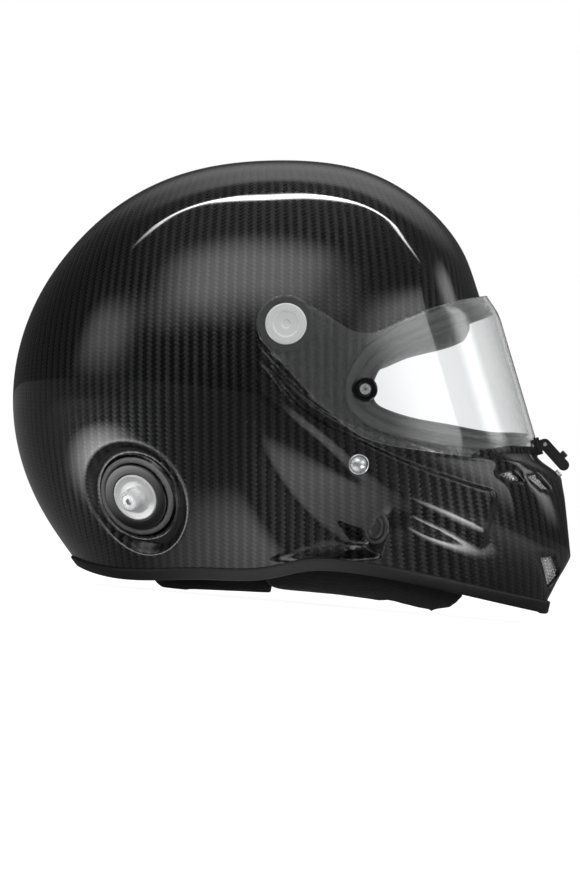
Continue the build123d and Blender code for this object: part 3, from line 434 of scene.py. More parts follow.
def skin(surface, wide, high, detail, keep, rim, closed=True, top=1.0, weave=None):
    """Right-hand half of a skin, with a rim turned in at the cut edges: its points, faces, cloth and cut line.

    rim lists how far out over the edge and how far down into the wall each row of the rim lies.
    """
    overhang = max(out for out, _ in rim)
    corner_shares, faces, edges = cells(
        surface, wide, high, detail, lambda point: keep(point) - overhang, closed, top
    )
    points = surface(corner_shares[:, 0], corner_shares[:, 1])
    used = sorted({corner for edge in edges for corner in edge})
    outward = normal_of(surface, corner_shares[used, 0], corner_shares[used, 1])
    slope = np.zeros_like(outward)
    for axis in (0, 2):
        nudge = np.zeros(3)
        nudge[axis] = 0.25
        slope[:, axis] = keep(points[used] + nudge) - keep(points[used] - nudge)
    over = -(slope - np.sum(slope * outward, -1, keepdims=True) * outward)
    middle_line = np.abs(points[used][:, 1]) < 0.02
    over[middle_line, 1] = 0
    outward[middle_line, 1] = 0
    over /= np.linalg.norm(over, axis=-1, keepdims=True) + 1e-9
    outward /= np.linalg.norm(outward, axis=-1, keepdims=True) + 1e-9
    cloth = weave(corner_shares[:, 0], corner_shares[:, 1]) if weave else np.zeros((len(points), 2))
    rows = [dict(zip(used, used))]
    for out, down in rim:
        base = len(points)
        points = np.vstack((points, points[used] + over * out - outward * down))
        cloth = np.vstack((cloth, cloth[used] + np.array((0.7, 0.7)) * (out + down)))
        rows.append({corner: base + k for k, corner in enumerate(used)})
    for near, far in zip(rows, rows[1:]):
        faces += [[near[b], near[a], far[a], far[b]] for a, b in edges]
    order = {corner: k for k, corner in enumerate(used)}
    edges = [(order[a], order[b]) for a, b in edges]
    return points, faces, cloth, {"points": points[used], "outward": outward, "over": over, "edges": edges}


def both_halves(points, faces):
    """The right-hand half and its mirror image."""
    flipped = [[corner + len(points) for corner in reversed(face)] for face in faces]
    return np.vstack((points, points * (1, -1, 1))), faces + flipped


def mesh_piece(name, points, faces, cloth=None, merge=1e-5):
    """Object from points in millimetres, with doubles merged, at the origin."""
    mesh = bpy.data.meshes.new(name)
    mesh.from_pydata((np.asarray(points) / 1000).tolist(), [], [list(map(int, face)) for face in faces])
    if cloth is not None:
        layer = mesh.uv_layers.new(name="cloth")
        index = np.empty(len(mesh.loops), np.int32)
        mesh.loops.foreach_get("vertex_index", index)
        layer.data.foreach_set("uv", (np.asarray(cloth)[index] / 1000).astype(np.float32).ravel())
    work = bmesh.new()
    work.from_mesh(mesh)
    bmesh.ops.remove_doubles(work, verts=work.verts, dist=merge)
    bmesh.ops.delete(work, geom=[corner for corner in work.verts if not corner.link_faces], context="VERTS")
    for face in work.faces:
        face.smooth = True
    work.to_mesh(mesh)
    work.free()
    return placed(name, mesh)


def finish_piece(piece, body, slot, material, *nodes):
    """Gives a piece its material and body, and hides the CAD nodes that it stands for; the slot is not used."""
    piece.data.materials.clear()
    piece.data.materials.append(material)
    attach(piece, body)
    if nodes:
        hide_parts(*nodes)
    return piece


# Arc length from the side's centre outward, for cloth laid over the side without stretching at its middle
RUN_COLUMNS, RUN_ROWS = 256, 200
run_points = dome(np.linspace(0, 1, RUN_COLUMNS + 1)[:, None], np.linspace(0, 1, RUN_ROWS + 1)[None, :])
run_steps = np.linalg.norm(np.diff(run_points, axis=1), axis=-1)
run_table = np.pad(np.cumsum(run_steps[:, ::-1], axis=1), ((0, 0), (1, 0)))[:, ::-1]


def cloth_over_side(around, across):
    """Cloth coordinates in millimetres: forward and up, square to the picture."""
    around = around % 1.0
    column, row = around * RUN_COLUMNS, np.clip(across, 0, 1) * RUN_ROWS
    i, j = np.minimum(column.astype(int), RUN_COLUMNS - 1), np.minimum(row.astype(int), RUN_ROWS - 1)
    p, q = column - i, row - j
    run = run_table[i, j] * (1 - p) * (1 - q) + run_table[i + 1, j] * p * (1 - q)
    run += run_table[i, j + 1] * (1 - p) * q + run_table[i + 1, j + 1] * p * q
    away = dome_outline(around)[..., :2] - core
    angle = np.arctan2(away[..., 1], away[..., 0]) - NOSE_UP
    forward, up = run * np.cos(angle), run * np.sin(angle)
    return np.stack((forward + 0.16 * up * rise(forward, 20, 150) * (up < 0), up), -1)


# Lines that need fine cells, with how near them the cells are halved once and twice
detail_lines = [
    (crest_line, 7.0, 2.6), (fairing_front, 8.0, 3.0), (lip_line, 6.0, 2.6), (hem_line - (0, HEM_DROP), 5.0, 1.8),
    (scoop_top[:6], 7.0, 2.4), (scoop_low[1:], 9.0, 4.0), (port_edge, 5.0, 1.8), (lower_bulge, 9.0, 0),
    (seen(((389, 503), (397, 515), (395, 538), (386, 554))), 10.0, 5.0),
    *[(ringed(vent), 5.0, 2.2) for vent in VENTS],
]


def shell_detail(point):
    """2 where the shell needs its finest cells, 1 near there and 0 elsewhere."""
    side = point[:, (0, 2)]
    wanted = np.zeros(len(point), int)
    for line, near, nearest in detail_lines:
        distance = np.abs(line_distance(side, line[::2] if len(line) > 40 else line)[0])
        wanted = np.maximum(wanted, (distance < near).astype(int) + (distance < nearest))
    radius = np.linalg.norm(point - ANCHOR_POINT, axis=-1)
    wanted = np.maximum(wanted, ((radius > 18) & (radius < 46)).astype(int))
    wanted = np.maximum(wanted, 2 * ((radius > 20.5) & (radius < 29)))
    chin = (point[:, 0] > 155) & (point[:, 2] < prow_line[0, 1] + 4)
    wanted = np.maximum(wanted, chin.astype(int))
    scoop_foot = (np.abs(side[:, 0] - PORT_POINT[0] + 11) < 14) & (np.abs(side[:, 1] - PORT_POINT[2]) < 22)
    return np.maximum(wanted, scoop_foot.astype(int))


def lining(around, across):
    """Inside of the shell, which follows the scoop and the seats roughly."""
    return moulded(around, across) - normal_of(dome, around, across) * SHELL_WALL


def plain_detail(point):
    return np.zeros(len(point), int)


# The skin stops just short of the pole at the side's centre, where its cells would shrink to nothing
POLE = 0.9995
shell_rim = ((0.0, 0.0), (0.5, 0.13), (0.87, 0.5), (1.0, 1.0), (1.0, SHELL_WALL))
*outer_half, outer_cloth, hem_cut = skin(
    moulded, 250, 60, shell_detail, shell_keep, shell_rim, top=POLE, weave=cloth_over_side)
*inner_half, inner_cloth, _ = skin(
    lining, 120, 30, plain_detail, shell_keep, ((0.0, 0.0),), top=POLE, weave=cloth_over_side)
outer_points, outer_faces = both_halves(*outer_half)
inner_points, inner_faces = both_halves(*inner_half)
inner_faces = [[corner + len(outer_points) for corner in reversed(face)] for face in inner_faces]
shell = mesh_piece(
    "carbon_shell", np.vstack((outer_points, inner_points)), outer_faces + inner_faces,
    np.vstack((outer_cloth, outer_cloth, inner_cloth, inner_cloth)))


# The shell's finish: 2x2 twill of black carbon tows under a thick clear coat, and a matt grey ring on the lip
# round the anchor's seat. The functions that build its nodes serve the other finishes too.
def feed(tree, made, values):
    """Links or sets the inputs of a node."""
    for place, value in values.items():
        if isinstance(value, bpy.types.NodeSocket):
            tree.links.new(value, made.inputs[place])
        else:
            made.inputs[place].default_value = value


def node(tree, kind, inputs=None, **settings):
    """New node with its settings and inputs."""
    made = tree.nodes.new(kind)
    for name, value in settings.items():
        setattr(made, name, value)
    feed(tree, made, inputs or {})
    return made


def calc(tree, operation, *values):
    """Result of one math node."""
    return node(tree, "ShaderNodeMath", dict(enumerate(values)), operation=operation).outputs[0]


def vector_calc(tree, operation, *values, result="Vector"):
    """Result of one vector math node."""
    return node(tree, "ShaderNodeVectorMath", dict(enumerate(values)), operation=operation).outputs[result]


def blend_value(tree, factor, low, high):
    return node(tree, "ShaderNodeMix", {0: factor, 2: low, 3: high}, data_type="FLOAT").outputs[0]


def blend_colour(tree, factor, low, high):
    return node(tree, "ShaderNodeMix", {0: factor, 6: low, 7: high}, data_type="RGBA").outputs[2]


def coords(tree):
    return node(tree, "ShaderNodeTexCoord").outputs["Object"]


def cloth_map(tree):
    return node(tree, "ShaderNodeUVMap", uv_map="cloth").outputs[0]


def cloth_tangent(tree):
    return node(tree, "ShaderNodeTangent", direction_type="UV_MAP", uv_map="cloth").outputs[0]


def numbers(tree, vector):
    """The three numbers of a vector."""
    return node(tree, "ShaderNodeSeparateXYZ", {0: vector}).outputs


def noise(tree, vector, scale, detail=2.0, rough=0.5):
    made = node(tree, "ShaderNodeTexNoise", {"Vector": vector, "Scale": scale, "Detail": detail, "Roughness": rough})
    return made.outputs["Fac"]


def varied(tree, scale, low, span, detail=2.0):
    """Value that wanders over a piece, from low up by a span."""
    return calc(tree, "MULTIPLY_ADD", noise(tree, coords(tree), scale, detail), span, low)


def bump(tree, height, distance, strength):
    return node(tree, "ShaderNodeBump", {"Height": height, "Distance": distance, "Strength": strength}).outputs[0]


def new_material(name, values):
    """Material with its shader tree and its main shader."""
    material = bpy.data.materials.new(name)
    material.use_nodes = True
    tree = material.node_tree
    shader = tree.nodes["Principled BSDF"]
    feed(tree, shader, values)
    return material, tree, shader


def new_group(name, kind, takes, gives):
    """Node group with its named inputs and outputs, and the nodes that hold them."""
    tree = bpy.data.node_groups.new(name, kind)
    for in_out, sockets in (("INPUT", takes), ("OUTPUT", gives)):
        for socket, kind_of in sockets.items():
            tree.interface.new_socket(name=socket, in_out=in_out, socket_type="NodeSocket" + kind_of)
    return tree, tree.nodes.new("NodeGroupInput").outputs, tree.nodes.new("NodeGroupOutput")


def twill_group():
    """2x2 twill: which tow lies on top, its rounded height and its fibres."""
    tree, given, result = new_group(
        "twill", "ShaderNodeTree", {"Cloth": "Vector", "Tow Width": "Float"},
        {"Warp": "Float", "Height": "Float", "Fibre": "Float"})
    place = numbers(tree, given["Cloth"])
    pitch = calc(tree, "MULTIPLY", given["Tow Width"], math.sqrt(2))
    p = calc(tree, "DIVIDE", calc(tree, "ADD", place[0], place[1]), pitch)
    q = calc(tree, "DIVIDE", calc(tree, "SUBTRACT", place[1], place[0]), pitch)
    i, j = calc(tree, "FLOOR", p), calc(tree, "FLOOR", q)
    turn = calc(tree, "FLOORED_MODULO", calc(tree, "SUBTRACT", i, j), 4.0)
    warp = calc(tree, "LESS_THAN", turn, 2.0)
    across = blend_value(tree, warp, calc(tree, "SUBTRACT", q, j), calc(tree, "SUBTRACT", p, i))
    across = calc(tree, "MULTIPLY_ADD", across, 2.0, -1.0)
    warp_run = calc(tree, "ADD", calc(tree, "SUBTRACT", q, i), 1.0)
    weft_run = calc(tree, "SUBTRACT", calc(tree, "SUBTRACT", p, j), 2.0)
    warp_run, weft_run = (calc(tree, "FRACT", calc(tree, "DIVIDE", run, 4.0)) for run in (warp_run, weft_run))
    run = calc(tree, "MULTIPLY_ADD", blend_value(tree, warp, weft_run, warp_run), 4.0, -1.0)
    side = calc(tree, "SUBTRACT", 1.0, calc(tree, "POWER", calc(tree, "ABSOLUTE", across), 2.6))
    end = calc(tree, "SUBTRACT", 1.0, calc(tree, "POWER", calc(tree, "ABSOLUTE", run), 3.2))
    side, end = calc(tree, "MAXIMUM", side, 0.0), calc(tree, "MAXIMUM", end, 0.0)
    tow = blend_value(tree, warp, calc(tree, "MULTIPLY_ADD", j, 7.31, 40.0), calc(tree, "MULTIPLY", i, 7.31))
    threads = node(tree, "ShaderNodeCombineXYZ", {
        0: calc(tree, "MULTIPLY_ADD", across, 5.5, tow), 1: calc(tree, "MULTIPLY", run, 0.5), 2: tow})
    feed(tree, result, {
        "Warp": warp, "Height": calc(tree, "MULTIPLY", calc(tree, "SQRT", side), end),
        "Fibre": noise(tree, threads.outputs[0], 1.6, 3.0, 0.6)})
    return tree


TOW_WIDTH = 0.00214
# The weft tows are painted darker and the warp tows lighter: painted shade and sheen standing in for the fibres'
# reflection, which turns with their direction
WEFT_PAINTED_SHADE, WARP_PAINTED_SHEEN = (0.0055, 0.0056, 0.0058, 1), (0.033, 0.0337, 0.0348, 1)
SEAT_RING_RADII, SEAT_RING_REACH = (0.0221, 0.0258), 0.030
carbon, tree, shader = new_material("carbon_twill", {"Anisotropic": 0.75, "Coat Roughness": 0.035, "Coat IOR": 1.5})
drift = vector_calc(tree, "MULTIPLY", noise(tree, coords(tree), 16.0, 1.0), (0.0016, -0.0012, 0))
weave = node(tree, "ShaderNodeGroup", node_tree=twill_group())
feed(tree, weave, {"Cloth": vector_calc(tree, "ADD", cloth_map(tree), drift), "Tow Width": TOW_WIDTH})
warp, height, fibre = (weave.outputs[name] for name in ("Warp", "Height", "Fibre"))
seam = calc(tree, "POWER", calc(tree, "MAXIMUM", height, 0.001), 0.35)
shade = calc(tree, "MULTIPLY", seam, calc(tree, "MULTIPLY_ADD", fibre, 0.9, 0.5))
# Each tow's colour, darker at its edges, with the painted sheen of the warp and the painted shade of the weft
tow_colour_with_painted_sheen = blend_colour(tree, shade, (0.0015, 0.0015, 0.0016, 1), blend_colour(tree, warp, WEFT_PAINTED_SHADE, WARP_PAINTED_SHEEN))
x, y, z = numbers(tree, coords(tree))
right_side = node(tree, "ShaderNodeCombineXYZ", {
    0: x, 1: calc(tree, "MULTIPLY", calc(tree, "ABSOLUTE", y), -1.0), 2: z}).outputs[0]
from_seat = vector_calc(tree, "SUBTRACT", right_side, tuple(ANCHOR_POINT / 1000))
seat_height = vector_calc(tree, "DOT_PRODUCT", from_seat, tuple(ANCHOR_AXIS), result="Value")
seat_reach = vector_calc(tree, "LENGTH", from_seat, result="Value")
squares = [calc(tree, "POWER", value, 2.0) for value in (seat_reach, seat_height)]
seat_radius = calc(tree, "SQRT", calc(tree, "MAXIMUM", calc(tree, "SUBTRACT", *squares), 0.0))
in_ring = calc(tree, "MULTIPLY", calc(tree, "GREATER_THAN", seat_radius, SEAT_RING_RADII[0]),
               calc(tree, "LESS_THAN", seat_radius, SEAT_RING_RADII[1]))
ring_mask = calc(tree, "MULTIPLY", in_ring, calc(tree, "LESS_THAN", seat_reach, SEAT_RING_REACH))
coated = calc(tree, "SUBTRACT", 1.0, ring_mask)
woven = calc(tree, "ADD", height, calc(tree, "MULTIPLY", fibre, 0.12))
feed(tree, shader, {
    "Base Color": blend_colour(tree, ring_mask, tow_colour_with_painted_sheen, (0.24, 0.24, 0.244, 1)),
    "Metallic": calc(tree, "MULTIPLY", coated, 0.85),
    "Coat Weight": coated,
    "Roughness": calc(tree, "MULTIPLY_ADD", ring_mask, 0.25, calc(tree, "MULTIPLY_ADD", fibre, 0.16, 0.28)),
    "Anisotropic Rotation": calc(tree, "MULTIPLY_ADD", warp, -0.25, 0.375),
    "Tangent": cloth_tangent(tree),
    "Normal": bump(tree, woven, 0.00032, 0.8)})
finish_piece(shell, "shell", "carbon", carbon, "outer_shell")


# Edge trim: a channel of black rubber with 1.5 mm lips, extruded in one length. It is pushed 6.6 mm over the
# shell's lower edge and glued there all the way round.
def chains(edges):
    """Runs of corners joined end to end by the cut edges."""
    joined = {}
    for a, b in edges:
        joined.setdefault(a, []).append(b)
        joined.setdefault(b, []).append(a)
    left, found = set(joined), []
    starts = sorted(left, key=lambda corner: len(joined[corner]))
    for start in starts:
        if start not in left:
            continue
        run = [start]
        left.discard(start)
        while True:
            following = [corner for corner in joined[run[-1]] if corner in left]
            if not following:
                break
            run.append(following[0])
            left.discard(following[0])
        if joined[run[-1]].count(start):
            run.append(start)
        found.append(run)
    return found


def even_run(points, count, soften=0):
    """Points evenly spaced along a line of points, smoothed a little first."""
    points = np.asarray(points, float)
    for _ in range(soften):
        inner = (points[:-2] + 2 * points[1:-1] + points[2:]) / 4
        points = np.vstack((points[:1], inner, points[-1:]))
    stations = way_along(points)
    wanted = np.linspace(0, stations[-1], count)
    return np.stack([np.interp(wanted, stations, points[:, k]) for k in range(points.shape[1])], -1)


def band_faces(count, ring):
    """Faces of a closed band of count rings, whose points follow one another."""
    return [
        [i * ring + j, i * ring + (j + 1) % ring, (i + 1) * ring + (j + 1) % ring, (i + 1) * ring + j]
        for i in range(count - 1) for j in range(ring)
    ]


# How far beyond the shell's edge, and how far out from its face, each corner of the channel lies
TRIM_PROFILE = (
    (-6.2, 0.05), (-6.15, 0.8), (-5.8, 1.3), (-5.0, 1.5), (0.3, 1.5), (1.2, 1.25), (1.9, 0.6), (2.2, -0.4),
    (2.25, -2.0), (2.2, -3.6), (1.9, -4.6), (1.2, -5.25), (0.3, -5.5), (-5.0, -5.5), (-5.8, -5.3), (-6.15, -4.8),
    (-6.2, -4.05),
)
cut_points = hem_cut["points"]
hem_chain = max(chains(hem_cut["edges"]), key=lambda chain: -np.mean(cut_points[chain][:, 2]) * (len(chain) > 40))
hem_rows = np.hstack([hem_cut[name][hem_chain] for name in ("points", "outward", "over")])
hem_rows = hem_rows[:: 1 if hem_rows[0, 0] < hem_rows[-1, 0] else -1]
hem_rows = even_run(hem_rows, 260, 6)
hem_out, hem_over = (
    part / np.linalg.norm(part, axis=1, keepdims=True) for part in (hem_rows[:, 3:6], hem_rows[:, 6:]))
hem_rows[[0, -1], 1] = 0
trim_rows = np.stack([hem_rows[:, :3] + hem_over * over + hem_out * out for over, out in TRIM_PROFILE], 1)
trim_half = both_halves(trim_rows.reshape(-1, 3), band_faces(*trim_rows.shape[:2]))
trim = mesh_piece("edge_channel", *trim_half, merge=1e-4)
trim_rubber, tree, shader = new_material("trim_rubber", {
    "Base Color": (0.014, 0.014, 0.0145, 1), "Specular IOR Level": 0.45})
feed(tree, shader, {
    "Roughness": varied(tree, 40.0, 0.42, 0.18),
    "Normal": bump(tree, noise(tree, coords(tree), 900.0, 3.0), 0.0002, 0.35)})
finish_piece(trim, "shell", "rubber", trim_rubber, "edge_trim")


# Visor: a clear 3 mm plate of moulded polycarbonate with a hard coat. In plan it is an ellipse, 110 mm deep and
# 129.6 mm to each side, straight behind its middle, and its two ears turn on the pivots.
VISOR_DEPTH, VISOR_BREADTH, VISOR_THICK = 110.0, 129.6, 3.0
VISOR_WAY, VISOR_FOOT, VISOR_RISE = 245.0, 90.0, 122.0
VISOR_FRONT_SHARES = (
    (0.310, 0.16), (0.340, 0.118), (0.372, 0.066), (0.456, -0.208), (0.461, -0.238), (0.463, -0.286), (0.463, -0.34),
)
VISOR_UPPER_SHARES = ((0.086, 0.017), (0.131, -0.005), (0.199, 0.030), (0.267, 0.074), (0.346, 0.107))
VISOR_LOWER_SHARES = ((0.463, -0.257), (0.348, -0.261), (0.237, -0.255), (0.151, -0.238), (0.082, -0.182))
VISOR_EAR = 18.5
front_rows = spots(VISOR_FRONT_SHARES)
front_heights = np.linspace(front_rows[-1, 1], front_rows[0, 1], 400)
front_noses = np.interp(front_heights, front_rows[::-1, 1], front_rows[::-1, 0])
quarter = np.linspace(0, math.pi / 2, 2001)
quarter_run = way_along(np.stack((VISOR_DEPTH * np.cos(quarter), VISOR_BREADTH * np.sin(quarter)), -1))


def nose_at(height):
    return np.interp(height, front_heights, front_noses)


def visor_place(run, height, inset=0.0):
    """Point on the visor's outside, moved in by the inset, from the way round from its nose and its height."""
    run = np.asarray(run, float)
    turn = np.interp(np.abs(run), quarter_run, quarter)
    behind = np.maximum(np.abs(run) - quarter_run[-1], 0)
    x = nose_at(height) - VISOR_DEPTH + (VISOR_DEPTH - inset) * np.cos(turn) - behind
    y = -np.sign(run) * (VISOR_BREADTH - inset) * np.sin(turn)
    return np.stack(np.broadcast_arrays(x, y, height), -1)


def run_at(places):
    """Way round the visor from its nose to side-view places, below zero ahead of the nose."""
    back = nose_at(places[..., 1]) - VISOR_DEPTH
    ahead = (places[..., 0] - back) / VISOR_DEPTH
    run = np.interp(np.arccos(np.clip(ahead, 0, 1)), quarter, quarter_run)
    return np.where(ahead > 1, -1.0, run + np.maximum(back - places[..., 0], 0))


def visor_surface(around, across, inset=0.0):
    """Visor's outside, moved in by the inset, at shares of the way back from its nose and of the way up."""
    around, across = np.broadcast_arrays(around, across)
    return visor_place(around * VISOR_WAY, VISOR_FOOT + across * VISOR_RISE, inset)


def visor_inside(around, across):
    return visor_surface(around, across, VISOR_THICK)


ear_turns = np.radians(np.linspace(222, 48, 60))
ear_arc = PIVOT + VISOR_EAR * np.stack((np.cos(ear_turns), np.sin(ear_turns)), -1)
visor_upper = drawn(np.vstack((ear_arc[-1:], spots(VISOR_UPPER_SHARES))), 100)
visor_lower = drawn(np.vstack((spots(VISOR_LOWER_SHARES), ear_arc[:1])), 100)
ahead_of_nose = np.array(((250, visor_upper[-1, 1]), (250, visor_lower[0, 1])))
visor_loop = np.vstack((visor_upper, ahead_of_nose, visor_lower, ear_arc))


def visor_keep(point):
    return -outside_loop(point[..., (0, 2)], visor_loop)


def visor_detail(point):
    away = np.abs(visor_keep(point))
    return (away < 7).astype(int) + (away < 2.5)


visor_rim = ((0.3, 0.05), (0.52, 0.22), (0.6, 0.5), (0.6, 2.5), (0.52, 2.78), (0.3, 2.95))
front_points, front_faces, *_ = skin(visor_surface, 56, 28, visor_detail, visor_keep, visor_rim, closed=False)
back_points, back_faces, *_ = skin(visor_inside, 56, 28, visor_detail, visor_keep, visor_rim[:1], closed=False)
visor_faces = [face[::-1] for face in front_faces]
visor_faces += [[corner + len(front_points) for corner in face] for face in back_faces]
visor = mesh_piece("clear_visor", *both_halves(np.vstack((front_points, back_points)), visor_faces), merge=1e-4)
clear, tree, shader = new_material("clear_visor", {
    "Base Color": (0.965, 0.975, 0.978, 1), "Roughness": 0.0, "IOR": 1.5, "Transmission Weight": 1.0})
through = node(tree, "ShaderNodeBsdfTransparent", {"Color": (0.86, 0.87, 0.875, 1)})
rays = node(tree, "ShaderNodeLightPath").outputs
mixed = node(tree, "ShaderNodeMixShader", {0: rays["Is Shadow Ray"], 1: shader.outputs[0], 2: through.outputs[0]})
feed(tree, tree.nodes["Material Output"], {"Surface": mixed.outputs[0]})
feed(tree, shader, {"Normal": bump(tree, noise(tree, coords(tree), 9.0, 2.0), 0.0006, 0.02)})
finish_piece(visor, "visor", "clear", clear, "visor_shield")


# Eyeport gasket: a frame of black rubber about 13 mm wide, moulded with two ridges and a thin inner lip. It is
# glued round the eyeport, and the closed visor rests against it.
GASKET_GAP = 0.6


def depth_at(places):
    """Distance from the middle plane of the plain dome's side at side-view places, or -1 outside it."""
    away = np.asarray(places, float) - core
    angle = np.mod(np.arctan2(away[..., 1], away[..., 0]), 2 * math.pi)
    table = dome_outline(np.linspace(0, 1, 2001)[:-1])
    table_away = table[:, :2] - core
    table_angle = np.mod(np.unwrap(np.arctan2(table_away[:, 1], table_away[:, 0])), 2 * math.pi)
    order = np.argsort(table_angle)
    reach, full = (
        np.interp(angle, table_angle[order], column[order], period=2 * math.pi)
        for column in (np.linalg.norm(table_away, axis=1), table[:, 2]))
    ratio = np.linalg.norm(away, axis=-1) / reach
    level = np.maximum(1 - np.minimum(ratio, 1) ** full, 0) ** (1 / full)
    return np.where(ratio <= 1, level * HALF_WIDTH, -1.0)


def sealed_line(line):
    """Stations evenly spaced along an outline, as the way round the visor and the height."""
    run = run_at(line)
    kept = np.flatnonzero(run >= 0)
    rows = np.stack((run, line[:, 1]), -1)[kept[0] : kept[-1] + 1]
    first, last = (0, rows[0, 1]), (0, rows[-1, 1])
    return even_run(np.vstack((first, rows, last)), 320)


def shell_under(run, height):
    """How far in from under the visor the shell's outside lies."""
    low, high = np.zeros(len(run)), np.full(len(run), 40.0)
    for _ in range(16):
        middle_way = (low + high) / 2
        place = visor_place(run, height, VISOR_THICK + GASKET_GAP + middle_way)
        inside = np.abs(place[:, 1]) < depth_at(place[:, (0, 2)])
        low, high = np.where(inside, low, middle_way), np.where(inside, middle_way, high)
    return high


# How far across the gasket each point of its face lies, and how far in from under the visor; then its back, with
# how far inside the shell's face that lies
GASKET_FACE = (
    (0.00, 1.6), (0.02, 0.9), (0.07, 0.3), (0.15, 0.0), (0.26, 0.1), (0.34, 0.6), (0.385, 1.6), (0.42, 2.5),
    (0.455, 2.7), (0.49, 2.2), (0.53, 1.2), (0.59, 0.7), (0.67, 0.6), (0.74, 0.9), (0.79, 1.7), (0.825, 2.5),
    (0.855, 2.5), (0.885, 1.7), (0.915, 0.9), (0.95, 0.6), (0.98, 0.7), (1.0, 1.3),
)
GASKET_BACK = ((1.0, 8.0), (0.97, 9.0), (0.5, 9.0), (0.44, 6.0), (0.42, 4.3), (0.0, 0.6))
outer_way, inner_way = (sealed_line(drawn(spots(shares), 1600)) for shares in (PORT_OUTER_SHARES, PORT_INNER_SHARES))
gasket_rows = []
for is_back, profile in enumerate((GASKET_FACE, GASKET_BACK)):
    for share, down in profile:
        run, height = (outer_way + (inner_way - outer_way) * share).T
        if is_back:
            down = shell_under(run, height) + down
        gasket_rows.append(visor_place(run, height, VISOR_THICK + GASKET_GAP + down))
gasket_points = np.stack(gasket_rows, 1)
gasket_faces = [[a, d, c, b] for a, b, c, d in band_faces(*gasket_points.shape[:2])]
gasket = mesh_piece("eyeport_seal", *both_halves(gasket_points.reshape(-1, 3), gasket_faces), merge=1e-4)
gasket_rubber, tree, shader = new_material("gasket_rubber", {"Specular IOR Level": 0.5})
mottle = noise(tree, coords(tree), 60.0, 3.0)
feed(tree, shader, {
    "Base Color": blend_colour(tree, mottle, (0.020, 0.020, 0.021, 1), (0.034, 0.034, 0.035, 1)),
    "Roughness": calc(tree, "MULTIPLY_ADD", mottle, 0.2, 0.32),
    "Normal": bump(tree, noise(tree, coords(tree), 1400.0, 2.0), 0.0001, 0.3)})
finish_piece(gasket, "shell", "gasket_rubber", gasket_rubber, "eyeport_gasket")


# Visor pivots and tear-off posts, one of each a side: an aluminium disc with rings left by the turning tool,
# screwed to the shell through the visor's ear, and a gloss black moulded collar that clamps the post to the visor.
def rounded(outline, radius=0.25):
    """Outline of radius and height pairs with its corners rounded."""
    places = [np.array(outline[0], float)]
    for before, corner, after in zip(outline, outline[1:], outline[2:]):
        before, corner, after = (np.array(place, float) for place in (before, corner, after))
        back, on = before - corner, after - corner
        reach = min(radius, np.linalg.norm(back) * 0.45, np.linalg.norm(on) * 0.45)
        start = corner + back / np.linalg.norm(back) * reach
        end = corner + on / np.linalg.norm(on) * reach
        places += [(1 - t) ** 2 * start + 2 * t * (1 - t) * corner + t * t * end for t in (0, 0.33, 0.67, 1)]
    places.append(np.array(outline[-1], float))
    return places


TURNED_SIDES = 96


def turned_pair(name, origin, axis, outline, body, slot, material, replaced):
    """Round piece on the right-hand side and its mirror image, mapped round and along its outline."""
    origin, axis = np.array(origin, float), np.array(axis, float) / np.linalg.norm(axis)
    forward = np.array((1.0, 0, 0)) - axis * axis[0]
    forward /= np.linalg.norm(forward)
    turns = np.linspace(0, 2 * math.pi, TURNED_SIDES, endpoint=False)
    spokes = np.cos(turns)[:, None] * forward + np.sin(turns)[:, None] * np.cross(axis, forward)
    run = way_along(outline)
    points = np.vstack([origin + spokes * radius + axis * height for radius, height in outline])
    cloth = np.vstack([np.stack((turns * 20, np.full(TURNED_SIDES, way)), -1) for way in run])
    faces = band_faces(len(outline), TURNED_SIDES)
    for side, flip in (("right", 1), ("left", -1)):
        piece = mesh_piece(f"{name}_{side}", points * (1, flip, 1), [face[::flip] for face in faces], cloth)
        piece.data.set_sharp_from_angle(angle=math.radians(50))
        finish_piece(piece, body, slot, material, f"{replaced}_{side}")


turned_metal, tree, shader = new_material("turned_aluminium", {
    "Base Color": (0.96, 0.965, 0.97, 1), "Metallic": 0.12, "Anisotropic": 0.7})
turned_way = numbers(tree, cloth_map(tree))
marks = node(tree, "ShaderNodeCombineXYZ", {
    0: calc(tree, "MULTIPLY", turned_way[0], 3.0), 1: calc(tree, "MULTIPLY", turned_way[1], 9000.0)})
grooves = noise(tree, marks.outputs[0], 1.0, 3.0, 0.7)
feed(tree, shader, {
    "Roughness": calc(tree, "MULTIPLY_ADD", grooves, 0.2, 0.16),
    "Normal": bump(tree, grooves, 0.00004, 0.5),
    "Tangent": cloth_tangent(tree)})

gloss_black, tree, shader = new_material("gloss_black_plastic", {
    "Base Color": (0.006, 0.006, 0.0065, 1), "Specular IOR Level": 0.5})
feed(tree, shader, {"Roughness": varied(tree, 300.0, 0.08, 0.12, 3.0)})

PIVOT_PLACE = (-12.2, -129.6, 174.7)
turned_pair("pivot_disc_face", PIVOT_PLACE, (0, -1, 0), rounded([
    (4.0, -12.0), (4.0, 0.4), (13.0, 0.4), (13.0, 2.55), (12.55, 3.0), (8.3, 3.0), (7.6, 2.2), (2.9, 2.2), (2.5, 1.4),
    (0.0, 1.4)], 0.2), "shell", "aluminium", turned_metal, "pivot_disc")
POST_PLACE, POST_AXIS = (40.418, -129.353, 138.112), (0.072573, -0.99695, 0.028709)
turned_pair("post_collar", POST_PLACE, POST_AXIS, rounded([
    (2.4, -1.4), (8.2, -1.4), (8.2, 2.6), (7.4, 3.2), (4.4, 3.2), (3.9, 2.5), (2.4, 2.5)], 0.5),
    "visor", "black_plastic", gloss_black, "post_washer")


